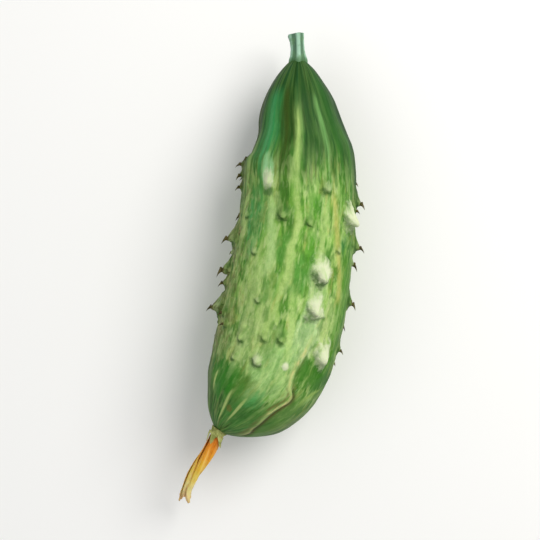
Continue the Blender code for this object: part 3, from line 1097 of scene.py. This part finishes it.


# %% [markdown]
# The crease gets a painted highlight along its lip and painted shade in its fold, with a thin line of
# painted shade above the lip. The recipe stored each point's distance from it, so the lines follow the
# valley exactly. The fold is sharp near the flower and fades out along the flank, and the skin past it
# is a deeper green.

# %% The crease's colours
def creased(places, tone):
    """The green past the crease, a painted highlight on its lip and painted shade in its fold."""
    share = places.share
    off = read("off_crease")
    shown = span(share, 0.60, 0.72) * span(share, 0.99, 0.955)
    sharp = span(share, 0.79, 0.84)
    flecks = span(streaks(places, 14.0, 30.0, 83.0), 0.36, 0.56)
    beyond = span(off, 0.2, 0.9) * span(off, 7.5, 4.0) * span(share, 0.81, 0.85) * (0.38 + flecks * 0.42)
    tone = blend(beyond, tone, (0.080, 0.190, 0.034))
    # Painted highlight along the crease's lip, pale green or tan.
    least = sharp * 0.45
    most = 0.70 - sharp * 0.20
    lip = bell(off, -0.90, 0.66) * shown * (least + flecks * most)
    lip_and_fold_tint = span(streaks(places, 12.0, 26.0, 87.0), 0.42, 0.58)
    pale = blend(lip_and_fold_tint, (0.400, 0.540, 0.180), (0.620, 0.560, 0.230))
    duller = span(share, 0.86, 0.94) * 0.65
    tone = blend(lip, tone, blend(duller, pale, (0.225, 0.235, 0.070)))
    # Painted shade: a thin dark line above the lip.
    above = bell(off, -2.0, 0.42) * sharp * shown * (0.2 + flecks) * 0.6
    tone = blend(above, tone, (0.130, 0.120, 0.032))
    # Painted shade in the crease's fold, dark green or brown.
    dark = 0.22 + sharp * 0.68
    fold = bell(off, 0.30, 0.62) * shown * dark
    return blend(fold, tone, blend(lip_and_fold_tint, (0.045, 0.060, 0.012), (0.085, 0.065, 0.018)))


# %% [markdown]
# A wart's mound turns from green to cream as it ages, with a ragged edge. The skin is drawn up towards
# the spine and hangs over on the flower's side, and a crescent of painted shade lies there, and the
# spine itself leaves a dark spot.

# %% The warts' colours
def warty(places, tone):
    """The mound's pale colour, its crescent of painted shade and the spot at the spine's foot."""
    near, shaded, cream, spine = (read(name) for name in ("wart", "wart_shaded", "cream", "spine"))
    grain = sway(places, 15.0, 85.0, 91.0, 0.9)
    edge = 0.34 + cream * 0.62
    mound = span(near + grain, edge * 1.12, edge * 0.40)
    worn = span(streaks(places, 9.0, 45.0, 89.0), 0.30, 0.50)
    ripe = blend(worn, (0.460, 0.580, 0.290), CREAM)
    light = blend(cream, (0.330, 0.480, 0.140), ripe)
    tone = blend(mound * (0.40 + cream * 0.55), tone, light)
    rough = sway(places, 17.0, 100.0, 93.0, 0.7)
    # Painted shade: a dark crescent on the wart's shaded side, and a faint one all round a green wart.
    below = span(shaded + rough, -0.05, 0.40)
    reach = 0.48 + cream * 0.18
    ring = bell(near + rough, reach, 0.30)
    round_all = (1.0 - cream) * 0.42
    crescent = ring * calc("MAXIMUM", below, round_all) * span(spine, 0.1, 0.5) * 0.88
    tone = blend(crescent, tone, (0.034, 0.098, 0.014))
    spot = span(near + rough, 0.36, 0.16) * span(spine, 0.6, 0.9) * 0.85
    return blend(spot, tone, BROWN)


# %% [markdown]
# The finish itself is waxy: fairly rough, with a weak broad shine. A very fine bump breaks the shine up,
# as the pores of real skin do. The shapes that can be seen, such as ribs and warts, are in the mesh
# already.

# %% The skin's finish
OVER_STROKES = (
    striped, banded_neck, lined, mottled, flank_shaded, spotted, flower_streaked, grained, creased, warty,
)


def skin_finish():
    """Every layer in its order, with the waxy shine and the pores."""
    material, shader = new_finish("fruit_skin_finish")
    places = skin_places()
    patches = patch_masks(places)
    tone = patched(patches, 1.0, ground_tone(places))
    tone = patched(patches, 0.5, stroked(places, tone))
    for layer in OVER_STROKES:
        tone = layer(places, tone)
    place = object_place()
    pores = noise(place, 1900.0, 3.0, 0.6)
    feed(shader, {
        "Base Color": tone,
        "Roughness": 0.42 + noise(place, 260.0, 3.0) * 0.22,
        "Specular IOR Level": 0.12,
        "Normal": bump(pores, 0.25, 0.12 * MM),
        "Subsurface Weight": 0.10,
        "Subsurface Radius": (0.6, 1.0, 0.3),
        "Subsurface Scale": 0.0012,
    })
    return material


# %% The skin, made and handed over
fruit = bake_recipe(fruit_recipe(), fruit_line, "cucumber_skin", {
    "Warts": wart_points, "Material": skin_finish(),
})
check_mesh(fruit)
hand_over(fruit, "fruit_skin", "fruit")

# %% [markdown]
# A dark spine sits on each young wart, and the first touch of a hand breaks it off. It's a bent, hollow
# hair with a swollen foot. There are dozens, all alike but for size, so one small spine is placed on
# every wart by a recipe, which looks up the nearest place on the finished skin. Each leans the way its
# wart does, with a little of its own will.

# %% The shape of one spine
def spine_shape(given):
    """One spine that stands on the origin and bends to +X as it rises."""
    sockets = {"Vertices": 7, "Side Segments": 6, "Radius": 1.0, "Depth": 1.0}
    rod = add("GeometryNodeMeshCylinder", sockets)["Mesh"]
    place = parts(position())
    height = place["Z"] + 0.5
    taper = (1.02 - height) ** 0.9
    swell = 1.0 + bell(height, 0.16, 0.13) * 0.45
    thick = taper * swell * given["Foot"]
    bent = height * height * (given["Length"] * 0.5)
    shaped = vector_of(place["X"] * thick + bent, place["Y"] * thick, height * given["Length"])
    return set_position(rod, shaped)


# %% A spine on every wart
def random_value(low, high, seed):
    """A number of its own for each point, the same at each run."""
    return add("FunctionNodeRandomValue", {"Min": low, "Max": high, "Seed": seed}, data_type="FLOAT")["Value"]


def spine_recipe():
    """A spine on each wart that still has one, leaning and turned a little by chance."""
    given = new_recipe("spine_recipe", {
        "Skin": bpy.types.Object, "Wart height": WART_HEIGHT, "Wart lean": WART_LEAN, "Sunk": 0.12 * MM,
        "Length": 1.75 * MM, "Foot": 0.44 * MM, "Smallest": 0.6, "Seed": 4, "Material": bpy.types.Material,
    })
    size, spine = attribute("size"), attribute("spine")
    outward, to_flower = (attribute(name, "FLOAT_VECTOR") for name in ("outward", "to_flower"))
    lift = wart_height(given, size) * 0.78
    tip = position() + (outward * lift + to_flower * (lift * given["Wart lean"]))
    skin = add("GeometryNodeObjectInfo", {"Object": given["Skin"]}, transform_space="ORIGINAL")["Geometry"]
    nearest = add("GeometryNodeProximity", {"Geometry": skin, "Sample Position": tip}, target_element="FACES")
    points = set_position(given["Geometry"], nearest["Position"] - outward * given["Sunk"])
    sockets = {"Geometry": points, "Selection": calc("LESS_THAN", spine, given["Smallest"])}
    points = add("GeometryNodeDeleteGeometry", sockets, domain="POINT")[0]
    way = outward + to_flower * random_value(0.35, 0.85, given["Seed"])
    stood = add("FunctionNodeAlignRotationToVector", {"Vector": way}, axis="Z")[0]
    sockets = {"Rotation": stood, "Vector": to_flower}
    turned = add("FunctionNodeAlignRotationToVector", sockets, axis="X", pivot_axis="Z")[0]
    spin = add("FunctionNodeEulerToRotation", {0: vector_of(z=random_value(-0.8, 0.8, 9))})[0]
    sockets = {"Rotation": turned, "Rotate By": spin}
    turned = add("FunctionNodeRotateRotation", sockets, rotation_space="LOCAL")[0]
    placed = add("GeometryNodeInstanceOnPoints", {
        "Points": points, "Instance": spine_shape(given), "Rotation": turned,
        "Scale": spine * random_value(0.85, 1.1, 17),
    })[0]
    return end_recipe(placed, given["Material"])


# %% The spines' finish
def spine_finish():
    """Dark brown, with paler flecks."""
    material, shader = new_finish("spine_finish")
    shade = noise(object_place(), 900.0, 2.0)
    tone = blend(span(shade, 0.35, 0.7), (0.040, 0.034, 0.008), (0.125, 0.105, 0.030))
    feed(shader, {
        "Base Color": tone,
        "Roughness": 0.6,
        "Specular IOR Level": 0.15,
        "Normal": bump(shade, 0.3, 0.05 * MM),
    })
    return material


# %% The spines, made and handed over
spines = bake_recipe(spine_recipe(), wart_points, "wart_spines", {
    "Skin": fruit, "Material": spine_finish(),
})
check_mesh(spines)
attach(spines, "root")
print(f"{spines.name} ride on the fruit and stand for no solid")

# %% [markdown]
# The stalk and the flower stand on the two ends of the fruit. Each end has a seat, a place with a
# direction pointing away from the fruit, and the pieces there are easiest to shape in the seat's own
# frame, with Z along that direction.

# %% The two seats
def seat_frame(here, inside):
    """The frame of a seat, from the end of the middle line and the point next to it."""
    away = (here - inside).normalized()
    return Matrix.Translation(here) @ away.to_track_quat("Z", "Y").to_matrix().to_4x4()


def short_line(name, steps, place_at, half_widths):
    """A helper line through place_at(share), with a half-width that runs smoothly through the few given."""
    shares = [step / steps for step in range(steps + 1)]
    rows = [(width,) for width in half_widths]
    widths = [through(rows, share * (len(rows) - 1))[0] for share in shares]
    return line_object(name, [place_at(share) for share in shares], widths)


stalk_seat = seat_frame(axis_points[0], axis_points[1])
flower_seat = seat_frame(axis_points[-1], axis_points[-2])
for label, seat in (("stalk", stalk_seat), ("flower", flower_seat)):
    print(label, "seat in mm:", [round(c, 1) for c in seat.translation])

# %% [markdown]
# The stalk is a five-angled stem of stringy fibres. It swells where it meets the fruit, and its other end
# was cut straight across. The tube recipe serves again: the five angles and the fibres are two waves in
# its half-width, and the closed end is pressed in a little, as soft pith is when it dries.

# %% The stalk's shape
STALK_START = -0.9  # a little inside the fruit, so that no gap shows
STALK_LENGTH = 7.3
STALK_RADII = (2.45, 2.35, 2.0, 1.82, 1.78, 1.82, 1.95, 2.1)  # from the fruit to the cut
STALK_LEAN = 0.7  # how far its cut end stands to one side
STALK_TWIST = 0.35  # radians, from the fruit to the cut
STALK_ANGLES = 5
STALK_FIBRES = 35.0


def stalk_place(share):
    """A point of the stalk's line, which leans to one side."""
    height = STALK_START + (STALK_LENGTH - STALK_START) * share
    return stalk_seat @ Vector((STALK_LEAN * share**2, 0.0, height))


def stalk_recipe():
    """A tube with five angles and fine fibres that twist round it a little."""
    given = new_recipe("stalk_recipe", {
        "Rows": 90, "Columns": 120, "Angles": STALK_ANGLES, "Angle height": 0.085,
        "Fibre height": 0.035 * MM, "Pith depth": 0.35 * MM, "Material": bpy.types.Material,
    })
    geometry, share, angle, closing, centre, out, forward, half_width = wrapped_grid(given, 8.0)
    turned = angle + share * STALK_TWIST
    angles = 1.0 + calc("COSINE", turned * given["Angles"]) * given["Angle height"]
    fibres = calc("COSINE", turned * STALK_FIBRES) * given["Fibre height"]
    geometry = set_position(geometry, centre + out * ((half_width * angles + fibres) * closing))
    knobs = (noise(position(), 700.0, 2.0) - 0.5) * (0.25 * MM)
    geometry = set_position(geometry, offset=out * (knobs * closing))
    sunk = span(closing, 0.8, 0.2) * span(share, 0.5, 0.6) * given["Pith depth"]
    geometry = set_position(geometry, offset=forward * -sunk)
    return end_recipe(welded(geometry, 0.002 * MM), given["Material"])


# %% The stalk's finish
def stalk_finish():
    """Blue-green ridges with a painted highlight, painted shade in the grooves, and a pale cut end with a
    greener rim.
    """
    material, shader = new_finish("stalk_finish")
    share, angle, closing = (read(name) for name in ("share", "angle", "closing"))
    place = object_place()
    turned = angle + share * STALK_TWIST
    ridge = calc("COSINE", turned * STALK_ANGLES)
    fibre = calc("COSINE", turned * STALK_FIBRES)
    blotch = noise(place, 450.0, 3.0)
    # Painted highlight on the ridges and painted shade in the grooves.
    tone = blend(span(ridge, -0.6, 0.8), (0.040, 0.120, 0.062), (0.290, 0.500, 0.360))
    tone = blend(span(fibre, 0.2, 1.0) * 0.30, tone, (0.420, 0.580, 0.420))
    tone = blend(span(blotch, 0.45, 0.65) * 0.45, tone, (0.100, 0.230, 0.080))
    tone = blend(span(share, 0.32, 0.10) * 0.75, tone, (0.040, 0.130, 0.030))
    cut = span(share, 0.9, 0.99) * span(closing, 0.99, 0.80)
    bundles = bell(closing, 0.6, 0.10) * span(ridge, 0.0, 0.8)
    pith = blend(span(closing, 0.35, 0.75), (0.560, 0.600, 0.360), (0.330, 0.450, 0.180))
    tone = blend(cut, tone, blend(bundles, pith, (0.120, 0.190, 0.060)))
    feed(shader, {
        "Base Color": tone,
        "Roughness": 0.55,
        "Specular IOR Level": 0.3,
        "Normal": bump(noise(place, 1500.0, 3.0), 0.35, 0.10 * MM),
    })
    return material


# %% The stalk, made and handed over
stalk_line = short_line("stalk_line", 40, stalk_place, STALK_RADII)
stalk = bake_recipe(stalk_recipe(), stalk_line, "stalk_stub", {"Material": stalk_finish()})
check_mesh(stalk)
hand_over(stalk, "stalk_green", "stalk")

# %% [markdown]
# The flower's foot dries to a wrinkled collar that grips the fruit's tip. It is the same kind of tube,
# very short, with ten wrinkles, and its rim flares to carry the sepals and the petals.

# %% The collar's shape
COLLAR_RADII = (2.3, 2.1, 1.9, 1.85, 2.0, 2.15)  # from the fruit to the rim
COLLAR_HEIGHT = 1.9


def collar_place(share):
    """A point of the collar's line, which is straight."""
    return flower_seat @ Vector((0.0, 0.0, COLLAR_HEIGHT * share))


def collar_recipe():
    """A short tube with wrinkles and small knobs."""
    given = new_recipe("collar_recipe", {
        "Rows": 44, "Columns": 120, "Wrinkles": 10, "Wrinkle height": 0.06, "Material": bpy.types.Material,
    })
    geometry, _, angle, closing, centre, out, _, half_width = wrapped_grid(given, 6.0)
    wrinkles = 1.0 + calc("COSINE", angle * given["Wrinkles"]) * given["Wrinkle height"]
    geometry = set_position(geometry, centre + out * (half_width * wrinkles * closing))
    knobs = (noise(position(), 900.0, 2.0) - 0.5) * (0.4 * MM)
    geometry = set_position(geometry, offset=out * (knobs * closing))
    return end_recipe(welded(geometry, 0.002 * MM), given["Material"])


# %% The dry finish of the collar and the sepals
def calyx_finish():
    """Dry olive tissue with dark brown flecks, turning tan towards its tips."""
    material, shader = new_finish("calyx_finish")
    place = object_place()
    patches = noise(place, 600.0, 3.0)
    fine = noise(place, 2600.0, 3.0)
    tone = blend(span(patches, 0.38, 0.62), (0.230, 0.260, 0.065), (0.490, 0.520, 0.180))
    tone = blend(span(read("share"), 0.45, 1.0) * 0.6, tone, (0.520, 0.460, 0.170))
    tone = blend(span(fine, 0.55, 0.68) * 0.5, tone, (0.100, 0.070, 0.025))
    feed(shader, {
        "Base Color": tone,
        "Roughness": 0.7,
        "Specular IOR Level": 0.2,
        "Normal": bump(fine, 0.5, 0.10 * MM),
    })
    return material


# %% The collar, made and handed over
collar_line = short_line("collar_line", 24, collar_place, COLLAR_RADII)
dry_calyx = calyx_finish()
collar = bake_recipe(collar_recipe(), collar_line, "collar", {"Material": dry_calyx})
check_mesh(collar)
hand_over(collar, "dried_calyx", "flower_collar")

# %% [markdown]
# Five sepals stand on the collar's rim, each a small dry blade that tapers to a point, with a keel down
# its back. A blade that bends and tapers is a loft: a row of rings, each smaller than the last, joined
# side by side. The rings are worked out in the seat's frame, with X pointing out from the flower, and
# each sepal is turned to its own place.

# %% A helper that lofts rings
def loft(name, rings, material, **values):
    """A closed mesh through rings of points in millimetres, in world place, with one value for each
    ring's points."""
    sides = len(rings[0])
    points = [p * MM for ring in rings for p in ring]
    faces = []
    for i in range(len(rings) - 1):
        for j in range(sides):
            k = (j + 1) % sides
            faces.append((i * sides + j, i * sides + k, (i + 1) * sides + k, (i + 1) * sides + j))
    faces.append(tuple(reversed(range(sides))))
    faces.append(tuple(range((len(rings) - 1) * sides, len(rings) * sides)))
    mesh = bpy.data.meshes.new(name)
    mesh.from_pydata([tuple(p) for p in points], [], faces)
    for label, numbers in values.items():
        spread = [number for number in numbers for _ in range(sides)]
        mesh.attributes.new(label, "FLOAT", "POINT").data.foreach_set("value", spread)
    mesh.materials.append(material)
    mesh.shade_smooth()
    return new_object(name, mesh)


# %% The sepals' shape
SEPALS = (  # length, half-width, how far the tip leans out, and how far it curls to one side
    (2.5, 1.3, 1.2, -0.3),
    (2.9, 1.0, 0.2, -0.6),
    (3.0, 1.0, -0.7, 0.2),
    (3.4, 0.95, 0.1, -0.3),
    (3.6, 1.1, 0.7, 0.5),
)
SEPAL_RING_RADIUS = 1.95
SEPAL_FOOT = 1.4  # where they start, above the flower's seat
SEPAL_TURN = math.radians(36)  # where the first one stands
SEPAL_STEPS = 16
SEPAL_SIDES = 12


def sepal_ring(number, t):
    """The ring at a share of a keeled blade, which rises from the rim, leans out and curls aside."""
    length, half_width, lean, curl = SEPALS[number]
    turn = Matrix.Rotation(math.radians(72 * number) + SEPAL_TURN, 4, "Z")
    wide = half_width * (1 - t) ** 0.7 * (1 + 0.15 * math.sin(9 * t + number)) + 0.05
    thick = 0.20 * (1 - 0.75 * t) + 0.03
    out = SEPAL_RING_RADIUS + lean * t**1.6
    ring = []
    for side in range(SEPAL_SIDES):
        angle = 2 * math.pi * side / SEPAL_SIDES
        across = wide * math.sin(angle)
        keel = 0.25 * thick * max(0.0, math.cos(angle)) * (abs(math.sin(angle)) < 0.6)
        hollow = 0.22 * across**2
        outwards = out + thick * math.cos(angle) + keel - hollow
        point = Vector((outwards, curl * t**2 + across, SEPAL_FOOT + length * t))
        ring.append(flower_seat @ (turn @ point))
    return ring


# %% The sepals, made and handed over
sepal_shares = [step / SEPAL_STEPS for step in range(SEPAL_STEPS + 1)]
for number in range(len(SEPALS)):
    rings = [sepal_ring(number, share) for share in sepal_shares]
    sepal = loft(f"dried_sepal_{number + 1}", rings, dry_calyx, share=sepal_shares)
    check_mesh(sepal)
    hand_over(sepal, "dried_calyx", f"sepal_{number + 1}")

# %% [markdown]
# When a cucumber's flower withers, its five petals roll up round each other like an umbrella, dry, and
# turn from yellow to orange and at last to straw. Each petal here is a sheet that runs along one bent
# line. Across, it spirals: one edge lies close to the line under its neighbour, the other lies outside
# over the next. Twist, crinkles and a ragged tip come from the recipe, with a start angle, an end and a
# seed of its own for each petal.

# %% The petals' shape
PETAL_PATH = (  # x, y, and height over the flower's seat
    (-19.4, -43.6, 0.2),
    (-21.9, -48.2, -0.2),
    (-24.2, -51.9, -1.0),
    (-26.3, -55.3, -2.4),
    (-27.9, -59.0, -4.2),
    (-28.7, -63.0, -6.3),
)
PETAL_SPREADS = (0.86, 0.98, 0.98, 0.86, 0.80, 0.98)  # how wide the roll is, from its foot to its tip
PETAL_ENDS = (1.0, 0.93, 0.97, 0.88, 0.95)  # the share of the line that each petal reaches
PETAL_TWIST = 130.0  # degrees, over the whole line
PETAL_THICKNESS = 0.16 * MM


def petal_place(share):
    """A point of the line that all five petals roll about."""
    x, y, z = through(PETAL_PATH, share * (len(PETAL_PATH) - 1))
    return Vector((x, y, z + flower_seat.translation.z))


def petal_recipe():
    """A sheet laid along the line, spiralled across, twisted, crinkled and torn at its end."""
    given = new_recipe("petal_recipe", {
        "Rows": 90, "Columns": 40, "Start angle": 0.0, "Twist": math.radians(PETAL_TWIST), "End": 1.0,
        "Inner radius": 0.85, "Outer radius": 1.85, "Half span": math.radians(62), "Crinkle": 0.30 * MM,
        "Seed": 0.0, "Material": bpy.types.Material,
    })
    place = parts(position())
    geometry = keep(flat_grid(given), "share", place["X"] + 0.5)
    geometry = keep(geometry, "across", place["Y"] * 2.0)
    share, across = attribute("share"), attribute("across")
    lobe = abs(across) ** 2.0
    ragged = noise(vector_of(across * 3.0, given["Seed"]), 1.0, 2.0) - 0.5
    reached = share * (given["End"] - lobe * 0.10 + ragged * 0.06)
    sampled = sample_line(given["Geometry"], reached, "half_width")
    folds = noise(vector_of(across * 3.5, share * 3.0, given["Seed"]), 1.0, 3.0, 0.6) - 0.5
    narrow = span(share, 1.0, 0.80, 0.55, 1.0)
    sideways = across * given["Half span"] * narrow + folds * 0.7
    angle = given["Start angle"] + reached * given["Twist"] + sideways
    spiral = span(across, -1.0, 1.0, smooth=False)
    radius = given["Inner radius"] + spiral * (given["Outer radius"] - given["Inner radius"])
    opened = span(share, 0.82, 1.0) * (folds * (1.6 * MM))
    radius = radius * sampled["Value"] + (folds * given["Crinkle"] + opened)
    out = round_line(sampled["Tangent"], angle)
    geometry = set_position(geometry, sampled["Position"] + out * radius)
    return end_recipe(keep(geometry, "fold", folds), given["Material"])


def thicken(thing, thickness):
    """Gives a sheet its thickness and keeps the result as its mesh."""
    wall = thing.modifiers.new("Thickness", "SOLIDIFY")
    wall.thickness = thickness
    wall.offset = 0.0
    mesh = evaluated_mesh(thing)
    thing.modifiers.clear()
    thing.data = mesh


# %% The petals' finish
PETAL_COLOURS = (  # at each share
    (0.00, (0.660, 0.165, 0.010)),
    (0.20, (0.770, 0.270, 0.012)),
    (0.42, (0.760, 0.420, 0.024)),
    (0.62, (0.780, 0.570, 0.085)),
    (0.80, (0.830, 0.710, 0.260)),
    (1.00, (0.840, 0.660, 0.320)),
)


def petal_finish():
    """Orange at the foot, gold along the middle, straw and peach at the tip, with brown edges and darker
    veins, a painted highlight on the crests of the crinkles and painted shade in their hollows."""
    material, shader = new_finish("petal_finish")
    share, across, fold = (read(name) for name in ("share", "across", "fold"))
    place = object_place()
    tone = colours_along(share + (noise(place, 350.0, 3.0) - 0.5) * 0.35, PETAL_COLOURS)
    # Painted highlight on the crests of the crinkles and painted shade in their hollows.
    tone = blend(span(fold, 0.0, 0.22) * 0.45, tone, (0.900, 0.740, 0.300))
    tone = blend(span(fold, -0.04, -0.22) * 0.5, tone, (0.400, 0.130, 0.012))
    veins = calc("COSINE", across * 24.0)
    tone = blend(span(veins, 0.6, 1.0) * 0.20, tone, (0.480, 0.200, 0.020))
    worn = calc("MAXIMUM", span(abs(across), 0.86, 1.0), span(share, 0.90, 1.0) * 0.8)
    feed(shader, {
        "Base Color": blend(worn * 0.6, tone, (0.520, 0.220, 0.050)),
        "Roughness": 0.6,
        "Specular IOR Level": 0.25,
        "Normal": bump(noise(place, 2200.0, 4.0), 0.6, 0.12 * MM),
        "Subsurface Weight": 0.2,
        "Subsurface Radius": (1.0, 0.5, 0.2),
        "Subsurface Scale": 0.0004,
    })
    return material


# %% The petals, made and handed over
petal_line = short_line("petal_line", 50, petal_place, PETAL_SPREADS)
petal_tree = petal_recipe()
dry_petal = petal_finish()
for number, end in enumerate(PETAL_ENDS):
    petal = bake_recipe(petal_tree, petal_line, f"withered_petal_{number + 1}", {
        "Start angle": math.radians(72.0 * number), "End": end, "Seed": 3.7 * number + 1.0,
        "Material": dry_petal,
    })
    thicken(petal, PETAL_THICKNESS)
    check_mesh(petal)
    hand_over(petal, "withered_petal", f"petal_{number + 1}")

# %% [markdown]
# The fruit lies down and the camera looks straight down on it, which is how a camera looks when it isn't
# turned. A long lens from further away keeps the two ends from looking smaller than the middle.

# %% The camera
camera_data = bpy.data.cameras.new("camera")
camera_data.lens = 100.0
camera_data.sensor_width = 36.0
camera = new_object("camera", camera_data)
camera.location = (-0.0055, 0.0, 0.415)
bpy.context.scene.camera = camera
print(f"the camera stands {1000 * camera.location.z:.0f} mm above the floor")

# %% [markdown]
# A plain pale floor takes the shadow. One large warm lamp shows the relief from the upper right, a weak
# cool one opens the shadows on the other side, and an even white world lights all the rest.

# %% The floor and the light
FLOOR_HALF_SIDE = 1.0
corners = [(FLOOR_HALF_SIDE * x, FLOOR_HALF_SIDE * y, 0.0) for x, y in ((-1, -1), (1, -1), (1, 1), (-1, 1))]
floor_mesh = bpy.data.meshes.new("floor")
floor_mesh.from_pydata(corners, [], [(0, 1, 2, 3)])
floor = new_object("floor", floor_mesh)
floor_paint, floor_shader = new_finish("floor_paint")
feed(floor_shader, {"Base Color": (0.86, 0.86, 0.85, 1.0), "Roughness": 0.9})
floor_mesh.materials.append(floor_paint)


def area_light(name, place, size, power, colour):
    """A round lamp at a place in metres, turned to the fruit."""
    data = bpy.data.lights.new(name, "AREA")
    data.shape = "DISK"
    data.size = size
    data.energy = power
    data.color = colour
    lamp = new_object(name, data)
    lamp.location = place
    lamp.rotation_euler = (-Vector(place)).to_track_quat("-Z", "Y").to_euler()


area_light("key", (0.32, 0.26, 0.44), 0.42, 2.9, (1.0, 0.98, 0.94))
area_light("fill", (-0.45, -0.15, 0.55), 0.6, 0.7, (0.93, 0.97, 1.0))
world = bpy.data.worlds.new("studio")
world.use_nodes = True
background = world.node_tree.nodes["Background"].inputs
background["Color"].default_value = (1.0, 1.0, 1.0, 1.0)
background["Strength"].default_value = 0.55
bpy.context.scene.world = world
bpy.context.scene.view_settings.view_transform = "Standard"

# %% [markdown]
# The helper lines and the points of the warts have done their work and are taken away, so that only
# finished pieces are handed over.

# %% Hand over
for helper in (fruit_line, wart_points, stalk_line, collar_line, petal_line):
    bpy.data.objects.remove(helper)
